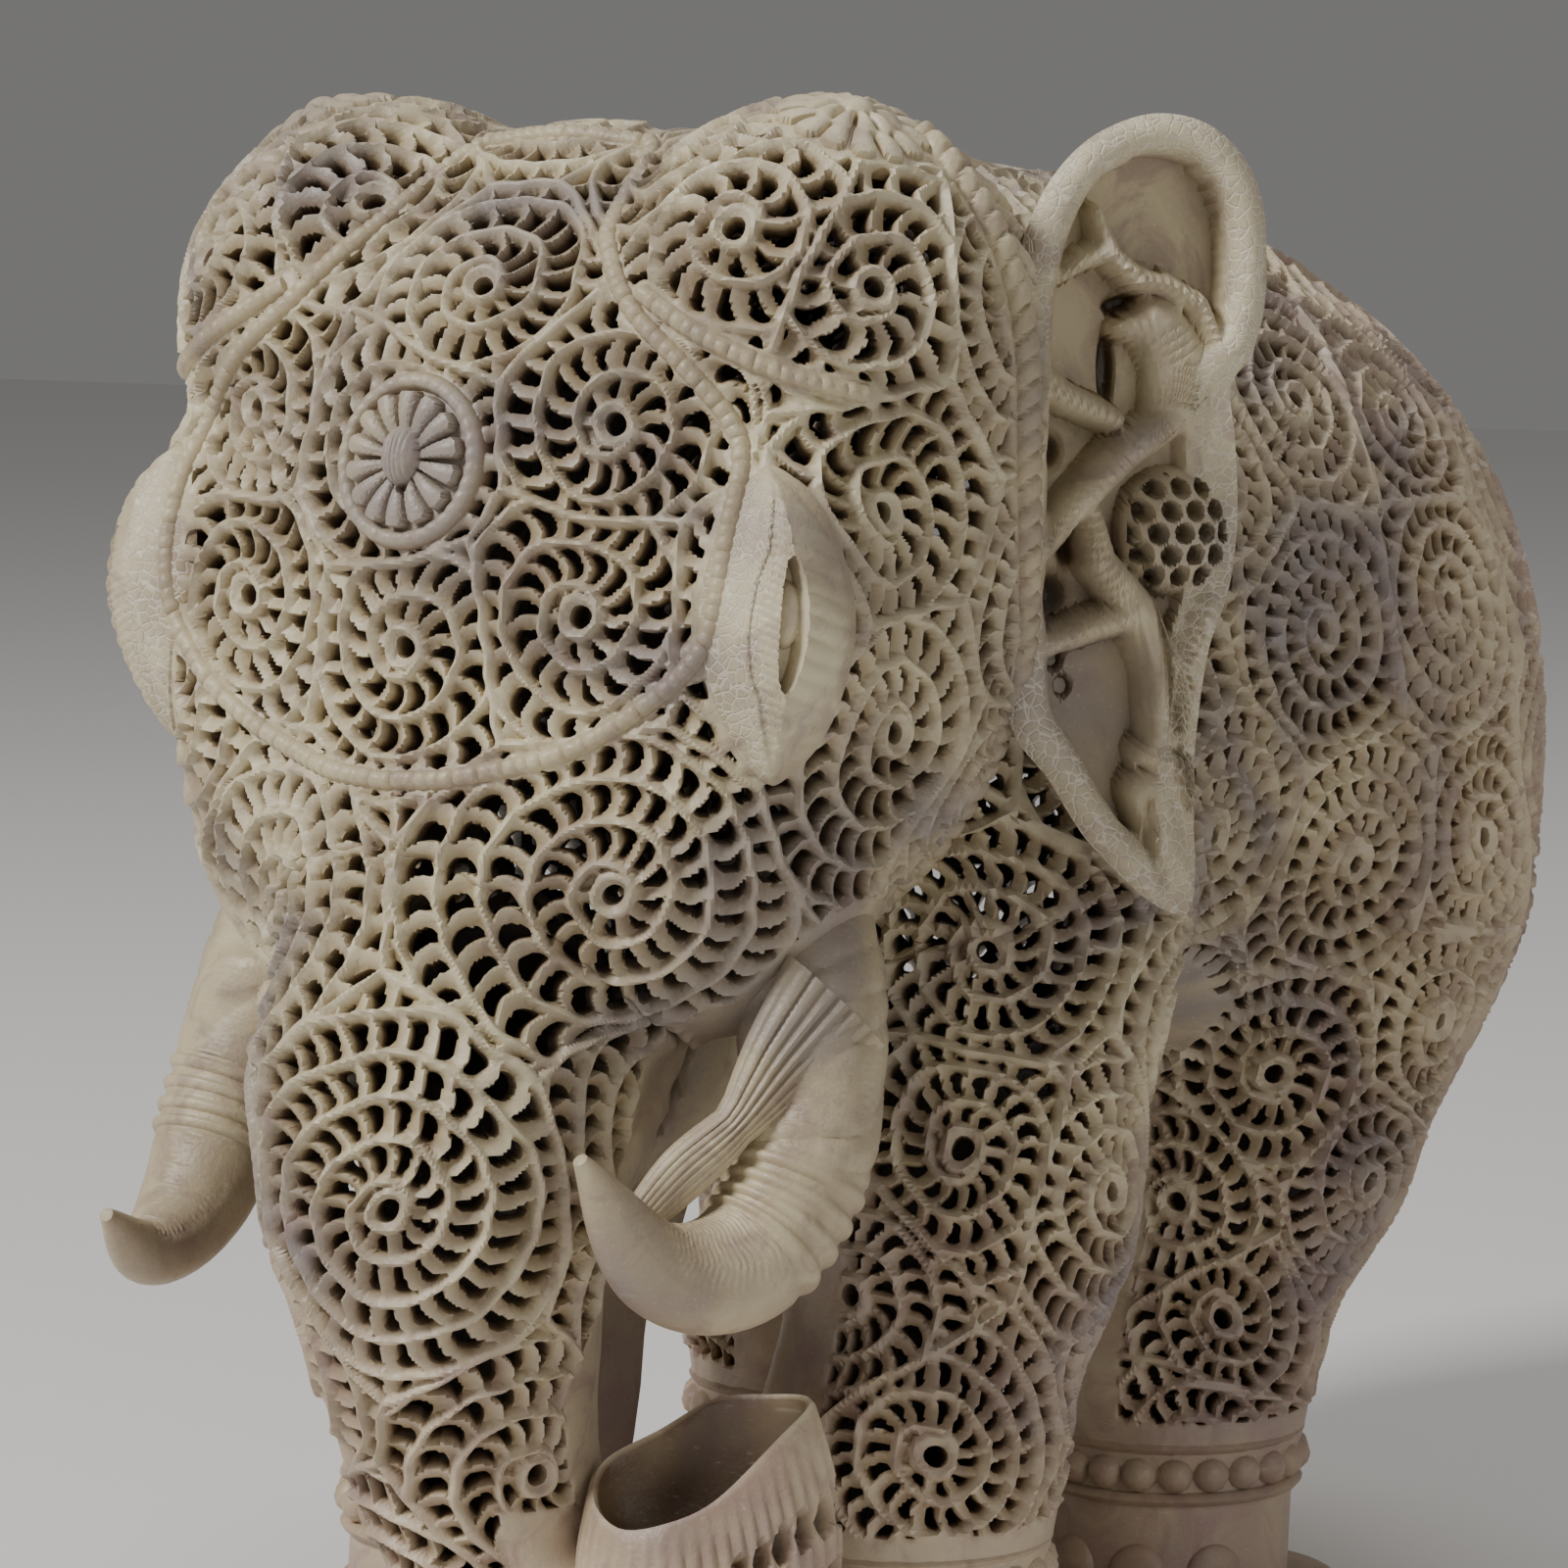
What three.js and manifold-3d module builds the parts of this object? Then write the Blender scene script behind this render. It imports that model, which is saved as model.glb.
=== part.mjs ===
// A soapstone elephant carved with its low base from one stone.
// Millimetres, +Z up. The elephant faces -Y, its left side is at +X, and it stands on z = 0.

import * as THREE from 'three';
import { mergeVertices } from 'three/addons/utils/BufferGeometryUtils.js';
import { ParametricGeometry } from 'three/addons/geometries/ParametricGeometry.js';
import Module from 'manifold-3d';

const vector = (triple) => new THREE.Vector3(...triple);
const mirrored = (triple) => [-triple[0], triple[1], triple[2]];

// Base
const BASE_HEIGHT = 8;
const BASE_HALF_WIDTH = 76;
const BASE_FRONT = -66;
const BASE_REAR = 100;
const BASE_CORNER = 26;
const BASE_CHAMFER = 2.4;

// Rounded masses: centre, radii, and the width of the blend to the lumps before it in the list.
// A paired lump stands on both sides.
const BODY = [
  { centre: [0, 73, 192], radii: [87, 116, 90] },
  { centre: [42, 116, 162], radii: [46, 60, 78], blend: 30, paired: true },
  { centre: [0, -4, 206], radii: [64, 66, 82], blend: 40 },
];
const HEAD = [
  { centre: [0, -64, 212], radii: [74, 50, 72] },
  { centre: [46, -60, 256], radii: [36, 43, 40], blend: 12, paired: true },
  { centre: [0, -84, 232], radii: [50, 31, 42], blend: 12 },
  { centre: [0, -58, 268], radii: [30, 28, 23], blend: 14 },
  { centre: [44, -78, 190], radii: [26, 36, 54], blend: 14, paired: true },
  { centre: [62, -92, 211], radii: [14, 17, 26], blend: 10, paired: true },
  { centre: [50, -50, 222], radii: [29, 26, 56], blend: 16, paired: true },
  { centre: [0, -64, 126], radii: [29, 25, 22], blend: 8 },
];

// Limbs: points along the middle with the radius at each.
const TRUNK = {
  points: [[0, -72, 196], [0, -92, 160], [0, -108, 125], [0, -109, 105], [0, -105, 80], [0, -100, 58],
    [4, -94, 37], [20, -88, 25], [36, -83, 29], [47, -79, 40], [52, -77, 47]],
  radii: [42, 35, 31.5, 28.5, 23.5, 20, 18, 17, 17, 16, 13],
  blend: 8,
};
const TRUNK_SCOOP = {
  points: [[10, -92, 52], [32, -86, 46], [50, -80, 62]],
  radii: [7, 11, 11],
  blend: 4,
};
const FORE_LEG = {
  points: [[49, 0, 150], [49, -17, 95], [47.5, -32, 50], [47.5, -36, 6]],
  radii: [33, 29, 25, 25],
};
const HIND_LEG = {
  points: [[46, 116, 142], [45, 94, 95], [42, 74, 50], [42, 70, 6]],
  radii: [42, 32, 24, 24],
};
const LEGS = {
  foreLeft: FORE_LEG,
  foreRight: { ...FORE_LEG, points: FORE_LEG.points.map(mirrored) },
  hindLeft: HIND_LEG,
  hindRight: { ...HIND_LEG, points: HIND_LEG.points.map(mirrored) },
};
const LEG_BLEND = 12;
const TRUNK_BLEND = 24;
const NECK_BLEND = 10;
const FOOT_BOTTOM = 4;
const HANDOVER = 0.7;
const NECK_DEPTH = -30;
const TRUNK_TOP = 138;
const LEG_TOP = 128;

// Tusks, each rising forward from beneath its sheath
const TUSKS = [
  [[-44, -66, 160], [-58, -78, 144], [-63, -88, 118], [-63, -100, 98], [-60, -117, 91], [-58, -131, 100]],
  [[42, -66, 160], [56, -77, 144], [60, -84, 117], [57, -98, 99], [51, -116, 100], [48, -134, 121]],
];
const TUSK_ROOT_RADIUS = 13.5;
const TUSK_TIP_RADIUS = 1.6;
const TUSK_STEPS = 17;
const TUSK_RING_STEPS = [9, 11];
const TUSK_RING_HEIGHT = 0.8;
// The fan of flutes over a tusk's root: its middle line, its width at the root and at its end
const SHEATH = {
  path: [[62, -76, 139], [57, -90, 133], [45, -106, 122], [33, -118, 108], [27, -122, 98]],
  flutes: 3,
  width: 14,
  endWidth: 3,
  radius: 3.8,
  endRadius: 1.8,
};

// Ears: a dished leaf on a sheet that leaves the head at EAR_ROOT and runs back at EAR_TURN from +X.
// The outline is given as distance along the sheet and height.
const EAR_ROOT = [73, -37];
const EAR_TURN = THREE.MathUtils.degToRad(50);
const EAR_MIDDLE = [21, 232];
const EAR_OUTLINE = [[0, 262], [5, 278], [14, 289], [26, 294], [38, 289], [45, 274], [45, 258], [39, 246],
  [36, 228], [38, 208], [35, 180], [33.5, 153], [24, 158], [8, 179], [-1, 196], [-2, 228]];
// Ear section from the front's middle over the rim to the back's middle: share of the outline, then height.
const EAR_SECTION = [[0, -3], [0.4, -4], [0.62, -3.5], [0.74, 1.5], [0.86, 3.5], [0.96, 2.5], [1, -1],
  [0.94, -5], [0.7, -7.5], [0.35, -9], [0, -9]];

// Eyes: an upright pointed leaf with a lid on each side of a small ball
const EYE = {
  side: 66, front: -102, height: 208.5, out: [46, -32], halfHeight: 26, halfWidth: 11.5, sunk: -3,
};
// Eye section from ball to edge: share of the outline, then height
const EYE_SECTION = [[0, 4.6], [0.16, 4.2], [0.26, 1.2], [0.4, 3.4], [0.66, 5], [0.84, 3.6], [1, 0.2]];

// Carving that stands on the skin
const BAND_RADIUS = 1.7;
const ROPE_RADIUS = 2.1;
const VINE_RADIUS = 1.15;
// Half of the oval band round the brow as side and height, from its top to its bottom
const BROW_OVAL = [[0, 292], [11, 286], [24, 275], [36, 262], [49, 251], [57, 240], [60, 227], [57, 205],
  [38, 189], [16, 182], [0, 180.5]];
// Above this height the oval lies on top of the head
const BROW_CROWN = 280;
const DOME_BAND = [[33, 264], [46, 257], [60, 251], [73, 247]];
// The roped edge is seen from a middle height: angles of its ends above the level, in degrees
const COLLAR = { depth: -38, height: 222, top: 62, bottom: -56, away: 140 };
const ROSETTE = { height: 235, ring: 14.2, petalRing: 8.6, petals: 9, petal: [2.8, 4.8, 1.8], boss: 4.2 };
const CAP_FLOWER = { side: 50, depth: -66, petalRing: 7, petals: 7, petal: [3, 4.6, 2], boss: 3.6 };
// Vine scrolls: the side that they are seen from, their place, outer radius, and turning sense
const SCROLL_TURNS = 1.5;
const SCROLL_EYE = 0.14;
const TRUNK_SCROLL = { at: [4, -150, 108], radius: 21, sense: 1 };
const FACE_SCROLLS = [
  { at: [37, -150, 163], radius: 22, sense: 1 },
  { at: [29, -150, 212], radius: 15, sense: -1 },
];
const SIDE_SCROLLS = [
  { at: [130, 40, 200], radius: 34, sense: 1 },
  { at: [130, 116, 190], radius: 36, sense: -1 },
];

// Anklets and nails
const ANKLET_HEIGHT = 32;
const ANKLET_BEADS = 8;
const BEAD_RADIUS = 4;
const BEAD_GROOVE_RADIUS = 2;
const NAILS = 3;
const NAIL_RADII = [5, 3, 6];
const NAIL_SPREAD = 36;

// Tail
const TAIL = [[0, 184, 226], [3, 194, 200], [6, 193, 160], [9, 182, 120], [10, 174, 96], [10, 172, 80]];
const TAIL_RADII = [7, 5, 4, 3.5, 6, 1.5];


// Signed distance fields, negative inside

function lumpDistance(x, y, z, lump) {
  const [rx, ry, rz] = lump.radii;
  const px = (lump.paired ? Math.abs(x) : x) - lump.centre[0];
  const py = y - lump.centre[1];
  const pz = z - lump.centre[2];
  const level = Math.hypot(px / rx, py / ry, pz / rz);
  const slope = Math.hypot(px / rx ** 2, py / ry ** 2, pz / rz ** 2);
  return level * (level - 1) / Math.max(slope, 1e-9);
}

function blendMin(a, b, width) {
  const near = Math.max(width - Math.abs(a - b), 0) / width;
  return Math.min(a, b) - near * near * width / 4;
}

function lumpsDistance(x, y, z, lumps) {
  let distance = lumpDistance(x, y, z, lumps[0]);
  for (const lump of lumps.slice(1)) {
    distance = blendMin(distance, lumpDistance(x, y, z, lump), lump.blend);
  }
  return distance;
}

function boneDistance(x, y, z, start, end, startRadius, endRadius) {
  const along = [end[0] - start[0], end[1] - start[1], end[2] - start[2]];
  const to = [x - start[0], y - start[1], z - start[2]];
  const dot = along[0] * to[0] + along[1] * to[1] + along[2] * to[2];
  const share = THREE.MathUtils.clamp(dot / (along[0] ** 2 + along[1] ** 2 + along[2] ** 2), 0, 1);
  const gap = Math.hypot(to[0] - share * along[0], to[1] - share * along[1], to[2] - share * along[2]);
  return gap - startRadius - (endRadius - startRadius) * share;
}

function limbDistance(x, y, z, limb) {
  let distance = Infinity;
  for (let i = 1; i < limb.points.length; i += 1) {
    const [start, end] = [limb.points[i - 1], limb.points[i]];
    const bone = boneDistance(x, y, z, start, end, limb.radii[i - 1], limb.radii[i]);
    distance = distance === Infinity ? bone : blendMin(distance, bone, limb.blend);
  }
  return distance;
}

function trunkDistance(x, y, z) {
  return -blendMin(-limbDistance(x, y, z, TRUNK), limbDistance(x, y, z, TRUNK_SCOOP), TRUNK_SCOOP.blend);
}

const legDistance = (leg) => (x, y, z) =>
  Math.max(limbDistance(x, y, z, { ...leg, blend: LEG_BLEND }), FOOT_BOTTOM - z);

const MASSES = {
  body: (x, y, z) => lumpsDistance(x, y, z, BODY),
  head: (x, y, z) => lumpsDistance(x, y, z, HEAD),
  trunk: trunkDistance,
  ...Object.fromEntries(Object.entries(LEGS).map(([name, leg]) => [name, legDistance(leg)])),
};

// The whole figure: the masses blended into one another.
function figure(x, y, z) {
  const face = blendMin(MASSES.head(x, y, z), MASSES.trunk(x, y, z), TRUNK_BLEND);
  let distance = blendMin(MASSES.body(x, y, z), face, NECK_BLEND);
  for (const name of Object.keys(LEGS)) {
    distance = blendMin(distance, MASSES[name](x, y, z), LEG_BLEND);
  }
  return distance;
}

// How near a mass is, with a handicap past the place where it hands the skin over to its neighbour
function claim(name, x, y, z) {
  const past = {
    body: NECK_DEPTH - y,
    head: y - NECK_DEPTH,
    trunk: z - TRUNK_TOP,
  }[name] ?? z - LEG_TOP;
  return MASSES[name](x, y, z) + HANDOVER * Math.max(past, 0);
}

// One mass's own share of the figure. Where another mass is nearer, its skin dives below the other's.
const ownShare = (name) => (x, y, z) => {
  const nearest = Math.min(...Object.keys(MASSES).map((other) => claim(other, x, y, z)));
  return figure(x, y, z) + 2 * (claim(name, x, y, z) - nearest);
};

// First place along a ray where a field turns from the sign that it has at the start.
function crossing(field, origin, direction, step = 1.6, reach = 260) {
  const value = (t) => {
    const place = origin.clone().addScaledVector(direction, t);
    return field(place.x, place.y, place.z);
  };
  const inside = value(0) < 0;
  let far = step;
  while (far < reach && (value(far) < 0) === inside) {
    far += step;
  }
  let near = far - step;
  for (let i = 0; i < 14; i += 1) {
    const middle = (near + far) / 2;
    if ((value(middle) < 0) === inside) {
      near = middle;
    } else {
      far = middle;
    }
  }
  return origin.clone().addScaledVector(direction, near);
}

// Solids

const wasm = await Module();
wasm.setup();

// A closed geometry as a solid: equal corners are merged, and triangles that shrank to a line go.
function solid(geometry) {
  const bare = geometry.clone();
  bare.deleteAttribute('normal');
  bare.deleteAttribute('uv');
  const merged = mergeVertices(bare, 1e-3);
  const corners = merged.index.array;
  const kept = [];
  for (let i = 0; i < corners.length; i += 3) {
    const [a, b, c] = corners.slice(i, i + 3);
    if (a !== b && b !== c && c !== a) {
      kept.push(a, b, c);
    }
  }
  const made = (triVerts) => new wasm.Manifold(new wasm.Mesh({
    numProp: 3,
    vertProperties: new Float32Array(merged.attributes.position.array),
    triVerts: new Uint32Array(triVerts),
  }));
  const body = made(kept);
  return body.volume() > 0 ? body : made(kept.toReversed());
}

function closedSurface(pointAt, around, along) {
  const wrapped = (u, v, target) => target.copy(pointAt(u >= 1 ? 0 : u, v));
  return solid(new ParametricGeometry(wrapped, around, along));
}

// A round bar along a curve. Its radius is a function of the place along it; open ends close to a point.
function bar(curve, radiusAt, sides, steps, closed = false) {
  const frames = curve.computeFrenetFrames(steps, closed);
  return closedSurface((u, v) => {
    const row = Math.round(v * steps);
    const place = closed && row === steps ? 0 : row;
    const angle = u * 2 * Math.PI;
    const radius = !closed && (row === 0 || row === steps) ? 0 : radiusAt(place / steps);
    return curve.getPointAt(place / steps)
      .addScaledVector(frames.normals[place], Math.cos(angle) * radius)
      .addScaledVector(frames.binormals[place], Math.sin(angle) * radius);
  }, sides, steps);
}

// The skin of one mass by rays from its spine: a cap of rays at each end, and rings between.
function skin(name, spinePoints, around, rings, capRings) {
  const spine = new THREE.CatmullRomCurve3(spinePoints.map(vector));
  const frames = spine.computeFrenetFrames(rings, false);
  const rows = rings + 2 * capRings;
  const field = ownShare(name);
  return closedSurface((u, v) => {
    const row = Math.round(v * rows);
    const ring = THREE.MathUtils.clamp(row - capRings, 0, rings);
    const tilt = (row - capRings - ring) / capRings * Math.PI / 2;
    const angle = u * 2 * Math.PI;
    const direction = frames.tangents[ring].clone().multiplyScalar(Math.sin(tilt))
      .addScaledVector(frames.normals[ring], Math.cos(tilt) * Math.cos(angle))
      .addScaledVector(frames.binormals[ring], Math.cos(tilt) * Math.sin(angle));
    const isPole = Math.abs(Math.abs(tilt) - Math.PI / 2) < 1e-6;
    const ray = isPole ? frames.tangents[ring].clone().multiplyScalar(Math.sign(tilt)) : direction;
    return crossing(field, spine.getPointAt(ring / rings), ray.normalize());
  }, around, rows);
}

// A point on the figure straight behind a point outside it
function onSkin(outside, direction) {
  return crossing(figure, vector(outside), vector(direction).normalize());
}

function slope(point) {
  const e = 0.5;
  const { x, y, z } = point;
  return new THREE.Vector3(
    figure(x + e, y, z) - figure(x - e, y, z),
    figure(x, y + e, z) - figure(x, y - e, z),
    figure(x, y, z + e) - figure(x, y, z - e),
  ).normalize();
}

function masses() {
  return [
    skin('body', [[0, 10, 200], [0, 40, 196], [0, 80, 190], [0, 116, 186]], 20, 4, 5),
    skin('head', [[0, -62, 240], [0, -70, 220], [0, -72, 200], [0, -68, 172]], 26, 6, 5),
    skin('trunk', [[0, -92, 152], [0, -107, 122], [0, -104, 80], [1, -97, 46],
      [20, -87, 19], [36, -83, 22], [48, -79, 38]], 12, 17, 4),
    ...Object.entries(LEGS).map(([name, leg]) => skin(name, leg.points, 11, 5, 2)),
  ];
}

function base() {
  const width = 2 * (BASE_HALF_WIDTH - BASE_CHAMFER);
  const [front, rear] = [BASE_FRONT + BASE_CHAMFER, BASE_REAR - BASE_CHAMFER];
  const corner = BASE_CORNER - BASE_CHAMFER;
  const plan = new THREE.Shape();
  plan.absarc(width / 2 - corner, rear - corner, corner, 0, Math.PI / 2);
  plan.absarc(corner - width / 2, rear - corner, corner, Math.PI / 2, Math.PI);
  plan.absarc(corner - width / 2, front + corner, corner, Math.PI, 1.5 * Math.PI);
  plan.absarc(width / 2 - corner, front + corner, corner, 1.5 * Math.PI, 2 * Math.PI);
  const slab = new THREE.ExtrudeGeometry(plan, {
    depth: BASE_HEIGHT - 2 * BASE_CHAMFER,
    bevelSize: BASE_CHAMFER,
    bevelThickness: BASE_CHAMFER,
    bevelSegments: 1,
    curveSegments: 2,
  });
  return solid(slab.translate(0, 0, BASE_CHAMFER));
}

function tusk(points) {
  const curve = new THREE.CatmullRomCurve3(points.map(vector));
  const radiusAt = (v) => {
    const taper = Math.sqrt(1 - Math.min(v, 1) ** 2.4);
    const ring = TUSK_RING_STEPS.includes(Math.round(v * TUSK_STEPS)) ? TUSK_RING_HEIGHT : 0;
    return TUSK_TIP_RADIUS + (TUSK_ROOT_RADIUS - TUSK_TIP_RADIUS) * taper + ring;
  };
  return bar(curve, radiusAt, 8, TUSK_STEPS);
}

function sheath(side) {
  const across = vector([side * 0.35, -0.3, 0.9]).normalize();
  const middle = new THREE.CatmullRomCurve3(SHEATH.path.map(([x, y, z]) => vector([side * x, y, z])));
  const stops = [0, 0.25, 0.5, 0.75, 1];
  return Array.from({ length: SHEATH.flutes }, (_, i) => {
    const spread = i / (SHEATH.flutes - 1) - 0.5;
    const points = stops.map((place) => {
      const width = THREE.MathUtils.lerp(SHEATH.width, SHEATH.endWidth, place);
      return middle.getPointAt(place).addScaledVector(across, spread * width);
    });
    const flute = new THREE.CatmullRomCurve3(points);
    return bar(flute, (v) => THREE.MathUtils.lerp(SHEATH.radius, SHEATH.endRadius, v), 5, 5);
  });
}

function ear(side) {
  const outline = new THREE.CatmullRomCurve3(EAR_OUTLINE.map(([s, z]) => new THREE.Vector3(s, z, 0)), true);
  const [along, out] = [[Math.cos(EAR_TURN), Math.sin(EAR_TURN)], [Math.sin(EAR_TURN), -Math.cos(EAR_TURN)]];
  return closedSurface((u, v) => {
    const [share, height] = EAR_SECTION[Math.round(v * (EAR_SECTION.length - 1))];
    const edge = outline.getPoint(u);
    const s = EAR_MIDDLE[0] + (edge.x - EAR_MIDDLE[0]) * share;
    const z = EAR_MIDDLE[1] + (edge.y - EAR_MIDDLE[1]) * share;
    const x = EAR_ROOT[0] + along[0] * s + out[0] * height;
    const y = EAR_ROOT[1] + along[1] * s + out[1] * height;
    return new THREE.Vector3(side * x, y, z);
  }, 16, EAR_SECTION.length - 1);
}

function eye(side) {
  const middle = vector([side * EYE.side, EYE.front, EYE.height]);
  const outward = vector([side * EYE.out[0], EYE.out[1], 0]).normalize();
  const upright = new THREE.Vector3(0, 0, 1);
  const sideways = upright.clone().cross(outward);
  const pointed = (value, power) => Math.sign(value) * Math.abs(value) ** power;
  return closedSurface((u, v) => {
    const row = Math.round(v * EYE_SECTION.length);
    const [share, height] = EYE_SECTION[row] ?? [0, EYE.sunk];
    const angle = u * 2 * Math.PI;
    const above = middle.clone().addScaledVector(outward, 30)
      .addScaledVector(upright, share * EYE.halfHeight * pointed(Math.cos(angle), 1.3))
      .addScaledVector(sideways, share * EYE.halfWidth * pointed(Math.sin(angle), 1.4));
    return crossing(figure, above, outward.clone().negate()).addScaledVector(outward, height);
  }, 10, EYE_SECTION.length);
}

// A half-sunk bar over points that are pressed onto the skin
function rib(points, radius, steps, closed = false) {
  const curve = new THREE.CatmullRomCurve3(points, closed);
  return bar(curve, () => radius, 3, steps, closed);
}

function browOval() {
  const half = BROW_OVAL.map(([x, z]) => (z > BROW_CROWN
    ? onSkin([x, -80, 330], [0, 0.25, -1])
    : onSkin([x, -190, z], [0, 1, 0])));
  const rest = half.slice(1, -1).toReversed().map((point) => new THREE.Vector3(-point.x, point.y, point.z));
  return rib([...half, ...rest], BAND_RADIUS, 20, true);
}

function domeBand(side) {
  const points = DOME_BAND.map(([x, z]) => onSkin([side * (x + 30), -190, z], [-side * 0.28, 1, 0]));
  return rib(points, BAND_RADIUS, 7);
}

// The roped edge at the back of the head, from dome to jaw
function collar(side) {
  const points = Array.from({ length: 9 }, (_, i) => {
    const angle = THREE.MathUtils.degToRad(THREE.MathUtils.lerp(COLLAR.top, COLLAR.bottom, i / 8));
    const [across, up] = [side * Math.cos(angle), Math.sin(angle)];
    return onSkin([COLLAR.away * across, COLLAR.depth, COLLAR.height + COLLAR.away * up], [-across, 0, -up]);
  });
  return rib(points, ROPE_RADIUS, 9);
}

// A scroll of vine on the skin, winding in from its outer turn
function scroll({ at, radius, sense }, inward) {
  const right = new THREE.Vector3(0, 0, 1).cross(inward);
  const up = inward.clone().cross(right);
  const points = Array.from({ length: 13 }, (_, i) => {
    const angle = sense * SCROLL_TURNS * 2 * Math.PI * i / 12;
    const reach = radius * THREE.MathUtils.lerp(1, SCROLL_EYE, i / 12);
    const above = vector(at).addScaledVector(right, reach * Math.cos(angle))
      .addScaledVector(up, reach * Math.sin(angle));
    return crossing(figure, above, inward);
  });
  const curve = new THREE.CatmullRomCurve3(points);
  return bar(curve, (v) => VINE_RADIUS * (1.2 - 0.4 * v), 3, 12);
}

function scrolls() {
  const other = (item) => ({ ...item, at: mirrored(item.at), sense: -item.sense });
  const [back, left, right] = [[0, 1, 0], [-1, 0, 0], [1, 0, 0]].map(vector);
  return [
    ...[...FACE_SCROLLS, ...FACE_SCROLLS.map(other), TRUNK_SCROLL].map((item) => scroll(item, back)),
    ...SIDE_SCROLLS.map((item) => scroll(item, left)),
    ...SIDE_SCROLLS.map((item) => scroll(other(item), right)),
  ];
}

// A flower of petals round a boss, pressed onto the skin
function flower(centre, { ring = 0, petals, petal, boss, petalRing }) {
  const outward = slope(centre);
  const turn = new THREE.Quaternion().setFromUnitVectors(new THREE.Vector3(0, 0, 1), outward);
  const placed = (geometry, x, y, angle = 0) => {
    const spot = new THREE.Vector3(x, y, 0).applyQuaternion(turn).add(centre).addScaledVector(outward, 12);
    const foot = crossing(figure, spot, outward.clone().negate());
    return solid(geometry.rotateZ(angle).applyQuaternion(turn).translate(foot.x, foot.y, foot.z));
  };
  const made = [placed(new THREE.SphereGeometry(boss, 6, 4), 0, 0)];
  for (let i = 0; i < petals; i += 1) {
    const angle = i / petals * 2 * Math.PI;
    const leaf = new THREE.OctahedronGeometry(1, 0).scale(petal[1], petal[0], petal[2]);
    made.push(placed(leaf, petalRing * Math.cos(angle), petalRing * Math.sin(angle), angle));
  }
  const rim = Array.from({ length: 14 }, (_, i) => {
    const angle = i / 14 * 2 * Math.PI;
    const spot = new THREE.Vector3(ring * Math.cos(angle), ring * Math.sin(angle), 0).applyQuaternion(turn);
    return crossing(figure, spot.add(centre).addScaledVector(outward, 12), outward.clone().negate());
  });
  return ring > 0 ? [...made, rib(rim, BAND_RADIUS * 0.8, 12, true)] : made;
}

function domeFlower(side) {
  return flower(onSkin([side * CAP_FLOWER.side, CAP_FLOWER.depth, 340], [0, 0, -1]), CAP_FLOWER);
}

function anklet({ points, radii }) {
  const [knee, foot] = points.slice(-2);
  const radius = radii.at(-1);
  const centreAt = (z) => {
    const share = (z - foot[2]) / (knee[2] - foot[2]);
    return [foot[0] + (knee[0] - foot[0]) * share, foot[1] + (knee[1] - foot[1]) * share];
  };
  const [x, y] = centreAt(ANKLET_HEIGHT);
  const ring = Array.from({ length: 2 * ANKLET_BEADS }, (_, i) => {
    const angle = i / ANKLET_BEADS * Math.PI;
    return new THREE.Vector3(x + radius * Math.cos(angle), y + radius * Math.sin(angle), ANKLET_HEIGHT);
  });
  const curve = new THREE.CatmullRomCurve3(ring, true);
  const beaded = (v) => (Math.round(v * 2 * ANKLET_BEADS) % 2 ? BEAD_RADIUS : BEAD_GROOVE_RADIUS);
  const made = [bar(curve, beaded, 3, 2 * ANKLET_BEADS, true)];
  for (let i = 0; i < NAILS; i += 1) {
    const angle = THREE.MathUtils.degToRad((i - (NAILS - 1) / 2) * NAIL_SPREAD - 90);
    const nail = new THREE.OctahedronGeometry(1, 0).scale(...NAIL_RADII).rotateZ(angle + Math.PI / 2);
    const [nailX, nailY] = [foot[0] + radius * Math.cos(angle), foot[1] + radius * Math.sin(angle)];
    made.push(solid(nail.translate(nailX, nailY, BASE_HEIGHT + 4)));
  }
  return made;
}

function tail() {
  const curve = new THREE.CatmullRomCurve3(TAIL.map(vector));
  const radiusAt = (v) => {
    const place = v * (TAIL_RADII.length - 1);
    const before = Math.min(Math.floor(place), TAIL_RADII.length - 2);
    return THREE.MathUtils.lerp(TAIL_RADII[before], TAIL_RADII[before + 1], place - before);
  };
  return bar(curve, radiusAt, 6, 10);
}

function elephant() {
  const sides = [-1, 1];
  const pieces = [
    ...masses(),
    base(),
    ...TUSKS.map(tusk),
    ...sides.flatMap((side) => [...sheath(side), ear(side), eye(side), domeBand(side), collar(side)]),
    browOval(),
    ...scrolls(),
    ...flower(onSkin([0, -190, ROSETTE.height], [0, 1, 0]), ROSETTE),
    ...sides.flatMap(domeFlower),
    ...Object.values(LEGS).flatMap(anklet),
    tail(),
  ];
  const { vertProperties, triVerts } = pieces.reduce((whole, piece) => whole.add(piece)).getMesh();
  const geometry = new THREE.BufferGeometry();
  geometry.setAttribute('position', new THREE.BufferAttribute(vertProperties, 3));
  geometry.setIndex(new THREE.BufferAttribute(triVerts, 1));
  const stone = new THREE.MeshStandardMaterial({ color: 0xc9bba6, roughness: 0.55, metalness: 0 });
  stone.flatShading = true;
  const mesh = new THREE.Mesh(geometry, stone);
  mesh.name = 'elephant';
  return mesh;
}

const group = new THREE.Group();
group.add(elephant());

export default group;
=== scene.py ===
"""A soapstone elephant carved hollow, its skin pierced all over with vine scrolls.

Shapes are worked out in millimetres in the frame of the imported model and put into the
meshes in metres: +Z up, the elephant faces -Y, its left side is at +X, the floor is z = 0.
"""

import math

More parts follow.
